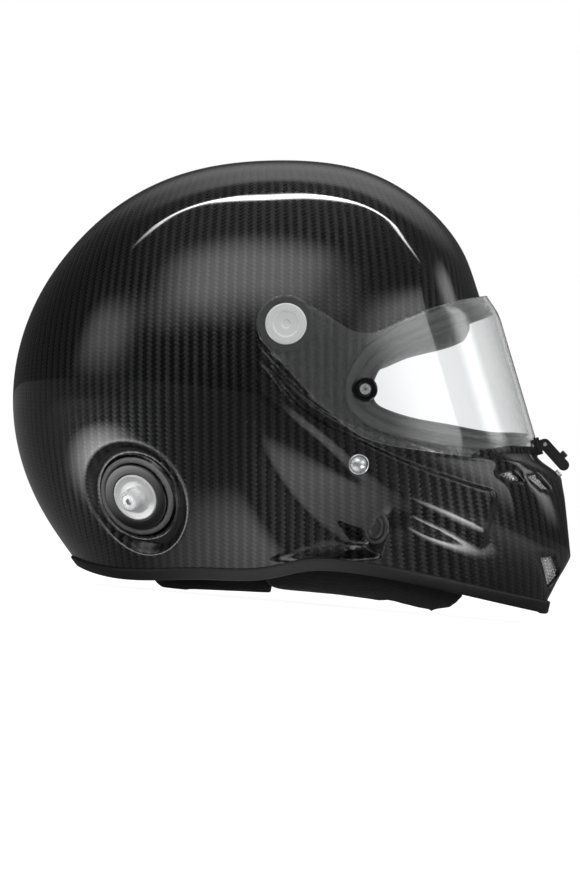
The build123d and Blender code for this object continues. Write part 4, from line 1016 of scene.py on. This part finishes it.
# Head-restraint anchors, one a side: a gloss black moulded washer in the shell's dished seat, and on it a post
# turned from aluminium with a wide flange. One hex socket screw holds both to a nut inside the shell.
turned_pair("restraint_washer", ANCHOR_POINT, ANCHOR_AXIS, rounded([
    (3.0, 0.05), (21.8, 0.05), (21.8, 2.1), (21.3, 2.6), (15.6, 2.6), (15.1, 2.2), (15.1, 1.2), (3.0, 1.2)], 0.3),
    "shell", "black_plastic", gloss_black, "anchor_washer")
turned_pair("restraint_post", ANCHOR_POINT, ANCHOR_AXIS, rounded([
    (3.0, 1.25), (15.0, 1.25), (15.0, 3.1), (14.4, 3.35), (13.5, 3.1), (10.5, 2.55), (6.9, 2.6), (5.6, 3.4), (5.4, 6.6),
    (6.5, 7.7), (6.5, 11.0), (5.8, 11.7), (4.7, 11.7), (4.6, 7.5), (3.0, 7.5)], 0.4),
    "shell", "aluminium", turned_metal, "anchor_post")


# Side ports, one a side: a moulded rubber ring with a rubber bung in it, pressed into a bore in the scoop's
# slanted wall, where a hose or a drinking tube can come in.
PORT_AXIS = (-0.70711, -0.70711, 0)
port_rubber, tree, shader = new_material("port_rubber", {
    "Base Color": (0.04, 0.04, 0.041, 1), "Specular IOR Level": 0.6})
feed(tree, shader, {
    "Roughness": varied(tree, 200.0, 0.28, 0.16),
    "Normal": bump(tree, noise(tree, coords(tree), 1300.0, 2.0), 0.0001, 0.3)})
turned_pair("port_collar", PORT_POINT, PORT_AXIS, rounded([
    (7.65, 0.02), (11.0, 0.02), (11.0, 1.2), (10.2, 2.0), (8.4, 2.0), (7.65, 1.4)], 0.5),
    "shell", "rubber", port_rubber, "port_ring")
turned_pair("port_plug", PORT_POINT, PORT_AXIS, rounded([
    (4.5, -7.0), (4.5, 0.02), (7.6, 0.02), (7.6, 2.0), (7.0, 2.6), (5.2, 2.6), (4.5, 2.0), (0.0, 1.8)], 0.5),
    "shell", "rubber", port_rubber, "port_bung")


# Chin strap rivets, one a side: a domed head of satin steel, 12.8 mm across, whose stem goes through the shell
# and is set over the strap's anchor plate inside.
satin_steel, tree, shader = new_material("satin_steel", {"Base Color": (0.72, 0.73, 0.74, 1), "Metallic": 0.6})
feed(tree, shader, {"Roughness": varied(tree, 700.0, 0.2, 0.16, 3.0)})
RIVET_PLACE, RIVET_AXIS = (41.139, -124.319, 90.91), (0.1444, -0.986662, -0.07515)
DOME_RADIUS, DOME_CENTRE = 6.35, -3.55
turned_pair("strap_rivet_head", RIVET_PLACE, RIVET_AXIS, np.array([
    (2.5, -14.0), (2.5, 0.0), (6.4, 0.0), (6.4, 0.35), (6.1, 0.6), (5.75, 0.65),
    *[(DOME_RADIUS * math.sin(turn), DOME_RADIUS * math.cos(turn) + DOME_CENTRE)
      for turn in np.radians((64, 56, 47, 38, 29, 20, 11, 4))],
    (0.0, 2.8)]), "shell", "steel", satin_steel, "strap_rivet")


# Small fittings that keep their modelled shape: screws, nuts, plates, posts, catch, pin and D-rings of satin
# steel, and latch, strap snap and pivot bases of moulded black plastic, the latch with softened edges.
def cad_finish(material, *names):
    """Gives CAD pieces whose shape is right a material of their own."""
    for name in names:
        cad_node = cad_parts[name]
        cad_node.data.materials.clear()
        cad_node.data.materials.append(material)


def pair_names(*names):
    return [f"{name}_{side}" for name in names for side in ("right", "left")]


black_plastic, tree, shader = new_material("moulded_black_plastic", {
    "Base Color": (0.011, 0.011, 0.0115, 1), "Specular IOR Level": 0.5})
grain = noise(tree, coords(tree), 1500.0, 2.0)
feed(tree, shader, {
    "Roughness": calc(tree, "MULTIPLY_ADD", grain, 0.16, 0.3),
    "Normal": bump(tree, grain, 0.00006, 0.4)})
cad_finish(satin_steel, *pair_names("tear_off_post", "anchor_screw", "pivot_nut", "anchor_nut", "strap_plate"))
cad_finish(satin_steel, "latch_pin", "latch_catch", "strap_ring_upper", "strap_ring_lower")
cad_finish(black_plastic, "latch_base", "latch_lever", "latch_knob", "strap_snap", *pair_names("pivot_base"))
for name, width in (("latch_base", 0.0004), ("latch_lever", 0.0009), ("latch_knob", 0.0003)):
    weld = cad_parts[name].modifiers.new("weld", "WELD")
    weld.merge_threshold = 1e-5
    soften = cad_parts[name].modifiers.new("soften", "BEVEL")
    soften.width, soften.segments, soften.limit_method = width, 3, "ANGLE"
    soften.angle_limit = math.radians(40)


# Vent meshes: bright wire cloth, 0.6 mm wires woven over and under at 1.9 mm. Each piece is cut to its opening's
# shape and glued behind it.
WIRE_RADIUS, WIRE_PITCH, WIRE_SWAY, SHORTEST_WIRE = 0.00030, 0.0019, 0.00028, 0.002


def plain_copy(name, source):
    """New object from an object's mesh with its modifiers applied."""
    graph = bpy.context.evaluated_depsgraph_get()
    mesh = bpy.data.meshes.new_from_object(source.evaluated_get(graph), depsgraph=graph)
    return placed(name, mesh)


def mesh_points(mesh, of="co"):
    """Places of a mesh's corners, or another vector of theirs."""
    places = np.empty(len(mesh.vertices) * 3)
    (mesh.vertices if of == "co" else mesh.vertex_normals).foreach_get(of, places)
    return places.reshape(-1, 3)


def set_points(mesh, places):
    mesh.vertices.foreach_set("co", np.asarray(places, np.float32).ravel())
    mesh.update()


def wire_tree():
    """Round wires along the edges of a mesh."""
    tree, given, result = new_group(
        "wire_cloth", "GeometryNodeTree",
        {"Wire Lines": "Geometry", "Wire Radius": "Float", "Wire Material": "Material"}, {"Wires": "Geometry"})
    lines = node(tree, "GeometryNodeMeshToCurve", {"Mesh": given["Wire Lines"]})
    circle = node(tree, "GeometryNodeCurvePrimitiveCircle", {"Resolution": 6, "Radius": given["Wire Radius"]})
    wires = node(tree, "GeometryNodeCurveToMesh", {
        "Curve": lines.outputs[0], "Profile Curve": circle.outputs[0], "Fill Caps": True})
    real = node(tree, "GeometryNodeRealizeInstances", {"Geometry": wires.outputs[0]})
    painted = node(tree, "GeometryNodeSetMaterial", {"Geometry": real.outputs[0], "Material": given["Wire Material"]})
    feed(tree, result, {"Wires": painted.outputs[0]})
    return tree


def woven_lines(places):
    """Wavy lines of a plain weave over the outline of flat points, in their middle plane."""
    middle = (places.min(0) + places.max(0)) / 2
    flat_axes = np.linalg.svd(places - places.mean(0), full_matrices=False)[2]
    turned = np.array(((1, 1), (-1, 1))) / math.sqrt(2) @ flat_axes[:2]
    flat = (places - middle) @ turned.T
    outline = flat[geometry.convex_hull_2d([Vector(place) for place in flat])]
    lines = []
    for way in (0, 1):
        across = 1 - way
        first, last = outline[:, across].min() / WIRE_PITCH, outline[:, across].max() / WIRE_PITCH
        for level in np.arange(math.ceil(first), math.floor(last) + 1):
            offset = (level + 0.5 * (way == 0)) * WIRE_PITCH
            a, b = outline, np.roll(outline, -1, axis=0)
            crossing = (a[:, across] > offset) != (b[:, across] > offset)
            if crossing.sum() != 2:
                continue
            share = (offset - a[crossing, across]) / (b[crossing, across] - a[crossing, across])
            ends = np.sort(a[crossing, way] + share * (b[crossing, way] - a[crossing, way]))
            ends = ends + (WIRE_RADIUS, -WIRE_RADIUS)
            if ends[1] - ends[0] < SHORTEST_WIRE:
                continue
            run = np.linspace(*ends, int((ends[1] - ends[0]) / WIRE_PITCH * 4) + 3)
            sway = WIRE_SWAY * np.cos(np.pi * (run / WIRE_PITCH + level + way)) * (1 - 2 * way)
            spot = np.zeros((len(run), 2))
            spot[:, way], spot[:, across] = run, offset
            lines.append(middle + spot @ turned + sway[:, None] * flat_axes[2])
    return lines


wire_lines = []
vent_nodes = pair_names("rear_vent_mesh", "front_vent_mesh", "lower_vent_mesh")
for name in vent_nodes:
    wire_lines += woven_lines(mesh_points(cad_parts[name].data))
wire_edges, corner = [], 0
for line in wire_lines:
    wire_edges += [(corner + k, corner + k + 1) for k in range(len(line) - 1)]
    corner += len(line)
wire_mesh = bpy.data.meshes.new("wire_lines")
wire_mesh.from_pydata(np.vstack(wire_lines).tolist(), wire_edges, [])
wire_source = placed("wire_lines", wire_mesh)
wire_finish, tree, shader = new_material("vent_wire", {"Base Color": (0.80, 0.80, 0.81, 1), "Metallic": 0.3})
feed(tree, shader, {
    "Roughness": varied(tree, 400.0, 0.26, 0.2),
    "Normal": bump(tree, noise(tree, coords(tree), 3000.0, 2.0), 0.00005, 0.4)})
weaving = wire_source.modifiers.new("wire_cloth", "NODES")
weaving.node_group = wire_tree()
for socket in weaving.node_group.interface.items_tree:
    if socket.name in ("Wire Radius", "Wire Material"):
        weaving[socket.identifier] = WIRE_RADIUS if socket.name == "Wire Radius" else wire_finish
vent_cloth = plain_copy("vent_wire_cloth", wire_source)
bpy.data.objects.remove(wire_source)
for face in vent_cloth.data.polygons:
    face.use_smooth = True
finish_piece(vent_cloth, "shell", "mesh", wire_finish, *vent_nodes)


# Foam liners of the crown, the sides and the chin bar: black beads expanded and fused in a mould, so the face
# shows each bead. They are pressed into the shell and glued.
BEAD_SCALE = 330.0
beads, tree, shader = new_material("bead_foam", {"Roughness": 0.75, "Specular IOR Level": 0.3})
bead, bead_edge = (
    node(tree, "ShaderNodeTexVoronoi", {"Vector": coords(tree), "Scale": BEAD_SCALE}, feature=feature).outputs
    for feature in ("F1", "DISTANCE_TO_EDGE"))
feed(tree, shader, {
    "Base Color": blend_colour(tree, bead["Color"], (0.012, 0.012, 0.012, 1), (0.03, 0.03, 0.031, 1)),
    "Normal": bump(tree, calc(tree, "MINIMUM", bead_edge["Distance"], 0.25), 0.0006, 0.9)})
cad_finish(beads, *[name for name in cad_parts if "foam_liner" in name])


# Pads for the cheeks, neck, crown and brow: soft foam sewn into black knit, and clipped or stuck into the liners.
# A short cloth simulation puffs each one up from its solid shape.
PAD_PRESSURE, PAD_STEPS = 4.0, 20


def puffed(name, node_name, shrink, cap, voxel):
    """Closed pad: the CAD solid remeshed, drawn in, blown up as cloth, and kept within a cap of its start."""
    rough = plain_copy("rough_" + name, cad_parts[node_name])
    remesh = rough.modifiers.new("remesh", "REMESH")
    remesh.mode, remesh.voxel_size = "VOXEL", voxel
    piece = plain_copy(name, rough)
    bpy.data.objects.remove(rough)
    mesh = piece.data
    for _ in range(2):
        smooth_once(mesh)
    start = mesh_points(mesh) - mesh_points(mesh, "vector") * shrink
    set_points(mesh, start)
    cloth = piece.modifiers.new("cloth", "CLOTH")
    cloth.settings.use_pressure = True
    cloth.settings.uniform_pressure_force = PAD_PRESSURE
    cloth.settings.effector_weights.gravity = 0
    cloth.point_cache.frame_start, cloth.point_cache.frame_end = 1, PAD_STEPS
    for step in range(1, PAD_STEPS + 1):
        bpy.context.scene.frame_set(step)
    swollen = plain_copy("swollen", piece)
    moved = mesh_points(swollen.data) - start
    bpy.data.objects.remove(swollen)
    piece.modifiers.clear()
    bpy.context.scene.frame_set(1)
    moved -= moved.mean(axis=0)
    size = np.linalg.norm(moved, axis=1, keepdims=True)
    set_points(mesh, start + moved * np.minimum(1, cap / (size + 1e-9)))
    finer = piece.modifiers.new("finer", "SUBSURF")
    finer.levels = finer.render_levels = 1
    done = plain_copy("done_" + name, piece)
    bpy.data.objects.remove(piece)
    done.name = name
    for face in done.data.polygons:
        face.use_smooth = True
    return done


def smooth_once(mesh):
    """Moves each corner half way to the middle of its neighbours."""
    work = bmesh.new()
    work.from_mesh(mesh)
    bmesh.ops.smooth_vert(work, verts=work.verts, factor=0.5, use_axis_x=True, use_axis_y=True, use_axis_z=True)
    work.to_mesh(mesh)
    work.free()


knit, tree, shader = new_material("black_knit", {
    "Roughness": 0.85, "Sheen Weight": 0.35, "Sheen Roughness": 0.5, "Specular IOR Level": 0.25})
place = coords(tree)
loops = node(tree, "ShaderNodeTexVoronoi", {
    "Vector": vector_calc(tree, "MULTIPLY", place, (1.0, 1.0, 1.6)), "Scale": 950.0, "Randomness": 0.25}, feature="F1")
fuzz, patches = noise(tree, place, 2600.0, 3.0), noise(tree, place, 30.0, 3.0)
worn = calc(tree, "MULTIPLY_ADD", patches, 0.7, calc(tree, "MULTIPLY", fuzz, 0.5))
stitched = calc(tree, "ADD", loops.outputs["Distance"], calc(tree, "MULTIPLY", fuzz, 0.4))
feed(tree, shader, {
    "Base Color": blend_colour(tree, worn, (0.008, 0.008, 0.0085, 1), (0.024, 0.024, 0.025, 1)),
    "Normal": bump(tree, stitched, 0.0005, 0.8)})
# How far the cheek pads are drawn back at their rear ends and the neck roll forward at its front ends
CHEEK_STRETCH, CHEEK_END, NECK_STRETCH, NECK_END = 0.010, 0.045, 0.007, 0.040
for name, source, shrink, cap, voxel in (
    ("cheek_cushion_right", "cheek_pad_right", 0.0020, 0.0035, 0.004),
    ("cheek_cushion_left", "cheek_pad_left", 0.0020, 0.0035, 0.004),
    ("neck_collar", "neck_roll", 0.0020, 0.0035, 0.004),
    ("crown_cushion", "crown_comfort_pad", 0.0012, 0.0022, 0.004),
    ("brow_cushion", "brow_pad", 0.0010, 0.0018, 0.003),
):
    pad = puffed(name, source, shrink, cap, voxel)
    places = mesh_points(pad.data)
    forward = places[:, 0]
    if source.startswith("cheek_pad"):
        places[:, 0] -= CHEEK_STRETCH * np.clip((forward.min() + CHEEK_END - forward) / CHEEK_END, 0, 1) ** 1.5
    if source == "neck_roll":
        places[:, 0] += NECK_STRETCH * np.clip((forward - forward.max() + NECK_END) / NECK_END, 0, 1) ** 1.5
    set_points(pad.data, places)
    finish_piece(pad, "shell", "knit", knit, source)


# Chin strap: two halves of black webbing, 20 mm wide and 2 mm thick, woven flat. Each runs from its rivet plate
# inward, turns round a bar of the D-rings and is folded back and stitched below.
STRAP_X, STRAP_WIDTH, STRAP_BEND = 41.139, 20.0, 8.0
STRAP_LEAD = ((-112.14, 99.91), (-112.14, 81.91), (-86.0, 73.87), (-62.0, 35.05))
RING_LEVEL = 16.058


def filleted(places, radius, step=0.8):
    """Points along straight runs joined by arcs."""
    places = [np.array(place, float) for place in places]
    path = [places[0]]
    for before, corner, after in zip(places, places[1:], places[2:]):
        back, on = before - corner, after - corner
        back_length, on_length = np.linalg.norm(back), np.linalg.norm(on)
        back, on = back / back_length, on / on_length
        half = math.acos(np.clip(back @ on, -1, 1)) / 2
        if half > math.pi / 2 - 0.01:
            continue
        reach = min(radius / math.tan(half), back_length * 0.49, on_length * 0.49)
        bend = reach * math.tan(half)
        middle_way = (back + on) / np.linalg.norm(back + on)
        centre = corner + middle_way * bend / math.sin(half)
        start, end = corner + back * reach - centre, corner + on * reach - centre
        turn = math.atan2(start[0] * end[1] - start[1] * end[0], start @ end)
        for part in np.linspace(0, 1, max(3, int(abs(turn) * bend / step))):
            c, s = math.cos(turn * part), math.sin(turn * part)
            path.append(centre + (start[0] * c - start[1] * s, start[0] * s + start[1] * c))
    path.append(places[-1])
    return np.array(path)


def strap_path(bar, loop, throat, tail, tail_height):
    """Strap line in the (left, up) plane: lead, turn round the bar and folded end."""
    lead = filleted((*STRAP_LEAD, (-50.0, throat), (bar, throat)), STRAP_BEND)
    turns = np.radians(np.linspace(80, -80, 24))
    loop_points = np.array((bar, RING_LEVEL)) + loop * np.stack((np.cos(turns), np.sin(turns)), -1)
    fold = filleted(((bar, RING_LEVEL - loop), (bar - 15.0, tail_height), (bar - tail, tail_height)), STRAP_BEND)
    path = np.vstack((lead, loop_points, fold))
    length = way_along(path)[-1]
    return even_run(path, int(length / 1.2)), length


# Half the webbing's section, across and up from its middle in millimetres
STRAP_SECTION = (
    (-10.0, 0.0), (-9.9, 0.5), (-9.6, 0.82), (-9.0, 0.97), (-5.0, 1.0), (0.0, 1.0), (5.0, 1.0), (9.0, 0.97),
    (9.6, 0.82), (9.9, 0.5), (10.0, 0.0),
)
CORD_PITCH, PICK_PITCH = 0.0013, 0.0022
webbing, tree, shader = new_material("black_webbing", {
    "Roughness": 0.8, "Sheen Weight": 0.25, "Sheen Roughness": 0.45, "Specular IOR Level": 0.3})
band = numbers(tree, cloth_map(tree))
cord_way = calc(tree, "MULTIPLY", band[1], math.pi / CORD_PITCH)
pick_way = calc(tree, "MULTIPLY", band[0], 2 * math.pi / PICK_PITCH)
cords = calc(tree, "ABSOLUTE", calc(tree, "SINE", cord_way))
cord_number = calc(tree, "FLOOR", calc(tree, "DIVIDE", band[1], CORD_PITCH))
picks = calc(tree, "SINE", calc(tree, "MULTIPLY_ADD", cord_number, math.pi / 2, pick_way))
webbed = calc(tree, "MULTIPLY", cords, calc(tree, "MULTIPLY_ADD", picks, 0.3, 0.7))
feed(tree, shader, {
    "Base Color": blend_colour(tree, webbed, (0.004, 0.004, 0.0042, 1), (0.022, 0.022, 0.023, 1)),
    "Normal": bump(tree, webbed, 0.0003, 0.9)})
section = [*STRAP_SECTION, *[(-across, -up) for across, up in STRAP_SECTION[1:-1]]]
for name, side, node_name, bar, loop, throat, tail, tail_height in (
    ("chin_strap_long", 1, "strap_long", 1.0, 6.4, 22.458, 38.0, 20.058),
    ("chin_strap_short", -1, "strap_short", -19.0, 4.6, 20.658, 26.0, 18.258),
):
    path, strap_length = strap_path(bar, loop, throat, tail, tail_height)
    way = np.gradient(path, axis=0)
    way /= np.linalg.norm(way, axis=1, keepdims=True)
    points, cloth = [], []
    for place, run, station in zip(path, way, way_along(path)):
        for across, up in section:
            points.append((STRAP_X + across, *(place + up * np.array((-run[1], run[0])))))
            cloth.append((station, across))
    ring, last = len(section), (len(path) - 1) * len(section)
    faces = band_faces(len(path), ring) + [list(range(ring))[::-1], list(range(last, last + ring))]
    strap = mesh_piece(name, np.array(points) * (1, side, 1), [face[::side] for face in faces], np.array(cloth))
    finish_piece(strap, "shell", "webbing", webbing, node_name)


# The place it is shown in: a floor and surround that are white to the camera and through the visor, and dark to
# other reflections but for glowing pools on the floor that paint highlights. Soft lamps with faded edges light it.
FLOOR_REACH = 9
floor_mesh = bpy.data.meshes.new("floor")
floor_mesh.from_pydata(
    [(x * FLOOR_REACH, y * FLOOR_REACH, 0) for x, y in ((-1, -1), (1, -1), (1, 1), (-1, 1))], [], [(0, 1, 2, 3)])
floor = placed("floor", floor_mesh)


def eye_rays(tree):
    """The kinds of ray, and 1 for those of the camera and those that it sends through the visor."""
    rays = node(tree, "ShaderNodeLightPath").outputs
    near_eye = calc(tree, "MAXIMUM", calc(tree, "LESS_THAN", rays["Glossy Depth"], 0.5),
                    calc(tree, "LESS_THAN", rays["Transmission Depth"], 2.5))
    first_through = calc(tree, "MULTIPLY", rays["Is Transmission Ray"], near_eye)
    return rays, calc(tree, "MAXIMUM", rays["Is Camera Ray"], first_through)


floor_paint, tree, shader = new_material("floor_paint", {
    "Base Color": (0.28, 0.28, 0.28, 1), "Roughness": 0.9, "Specular IOR Level": 0.0})
rays, shown = eye_rays(tree)
on_floor = coords(tree)
far_share = node(tree, "ShaderNodeMapRange", {
    "Value": vector_calc(tree, "LENGTH", on_floor, result="Value"), "From Min": 0.3, "From Max": 1.2})
near_glow = calc(tree, "MULTIPLY_ADD", far_share.outputs[0], 0.06, 0.94)
# Glowing pools on the floor, seen only in reflections: painted highlights on the helmet's lower side and its fairing,
# over a faint glow everywhere
painted_reflection_pools = 0.15
for place, radius, strength in (
    ((-0.25, -0.15, 0), 0.12, 7.0), ((-0.60, -0.20, 0), 0.35, 0.2), ((-0.02, -0.18, 0), 0.15, 1.4),
    ((0.22, -0.23, 0), 0.10, 11.0), ((0.55, -0.20, 0), 0.42, 0.6),
):
    reflection_pool = node(tree, "ShaderNodeMapRange", {
        "Value": vector_calc(tree, "DISTANCE", on_floor, place, result="Value"), "From Min": 0.0, "From Max": radius,
        "To Min": strength, "To Max": 0.0}, interpolation_type="SMOOTHSTEP")
    painted_reflection_pools = calc(tree, "ADD", painted_reflection_pools, reflection_pool.outputs[0])
painted_reflections = calc(tree, "MULTIPLY", rays["Is Glossy Ray"], painted_reflection_pools)
strength = calc(tree, "ADD", calc(tree, "MULTIPLY", shown, near_glow), painted_reflections)
glow = node(tree, "ShaderNodeEmission", {"Color": (1, 1, 1, 1), "Strength": strength})
lit = node(tree, "ShaderNodeAddShader", {0: shader.outputs[0], 1: glow.outputs[0]})
seen_as = node(tree, "ShaderNodeMixShader", {0: rays["Is Glossy Ray"], 1: lit.outputs[0], 2: glow.outputs[0]})
feed(tree, tree.nodes["Material Output"], {"Surface": seen_as.outputs[0]})
floor_mesh.materials.append(floor_paint)

world = bpy.data.worlds.new("studio")
bpy.context.scene.world = world
world.use_nodes = True
tree = world.node_tree
tree.nodes.clear()
rays, shown = eye_rays(tree)
fill = calc(tree, "MULTIPLY_ADD", rays["Is Diffuse Ray"], 0.17, 0.05)
dark, bright = (
    node(tree, "ShaderNodeBackground", {"Color": (1, 1, 1, 1), "Strength": strength}) for strength in (fill, 1.0))
mixed = node(tree, "ShaderNodeMixShader", {0: shown, 1: dark.outputs[0], 2: bright.outputs[0]})
node(tree, "ShaderNodeOutputWorld", {"Surface": mixed.outputs[0]})

LAMP_AIM, EDGE_SOFT = Vector((0, 0, 0.13)), 0.42
for name, place, size, watts, rear_soft, front_soft, level in (
    ("overhead_strip", (0.00, 0.05, 1.60), (3.20, 0.055), 8.0, EDGE_SOFT, EDGE_SOFT, 2.6),
    ("front_softbox", (-0.60, -2.30, 2.30), (4.60, 3.20), 44.0, EDGE_SOFT, EDGE_SOFT, 2.6),
    ("far_softbox", (0.20, 2.60, 2.50), (5.00, 3.60), 10.0, EDGE_SOFT, EDGE_SOFT, 2.6),
    ("rear_left", (-1.50, -0.70, 0.60), (1.30, 1.20), 2.5, EDGE_SOFT, EDGE_SOFT, 2.6),
    ("front_behind", (1.25, 0.40, 0.60), (0.60, 1.00), 1.5, EDGE_SOFT, EDGE_SOFT, 2.6),
    ("front_panel", (1.52, -1.45, 0.85), (2.60, 1.80), 20.0, 0.70, 0.02, 1.6),
):
    lamp = bpy.data.lights.new(name, "AREA")
    lamp.shape, lamp.size, lamp.size_y, lamp.energy = "RECTANGLE", *size, watts
    lamp.use_nodes = True
    tree = lamp.node_tree
    spot = numbers(tree, node(tree, "ShaderNodeNewGeometry").outputs["Parametric"])
    fade = 1.0
    for axis, far_edge, soft in ((0, 0, rear_soft), (0, 1, front_soft), (1, 0, EDGE_SOFT), (1, 1, EDGE_SOFT)):
        from_edge = calc(tree, "SUBTRACT", 1.0, spot[axis]) if far_edge else spot[axis]
        edge = node(tree, "ShaderNodeMapRange", {"Value": from_edge, "From Max": soft}, interpolation_type="SMOOTHSTEP")
        fade = calc(tree, "MULTIPLY", fade, edge.outputs[0])
    feed(tree, tree.nodes["Emission"], {"Strength": calc(tree, "MULTIPLY", fade, level)})
    turn = (LAMP_AIM - Vector(place)).to_track_quat("-Z", "Y").to_matrix().to_4x4()
    placed(name, lamp).matrix_world = Matrix.Translation(place) @ turn

bpy.context.scene.view_settings.view_transform = "Standard"
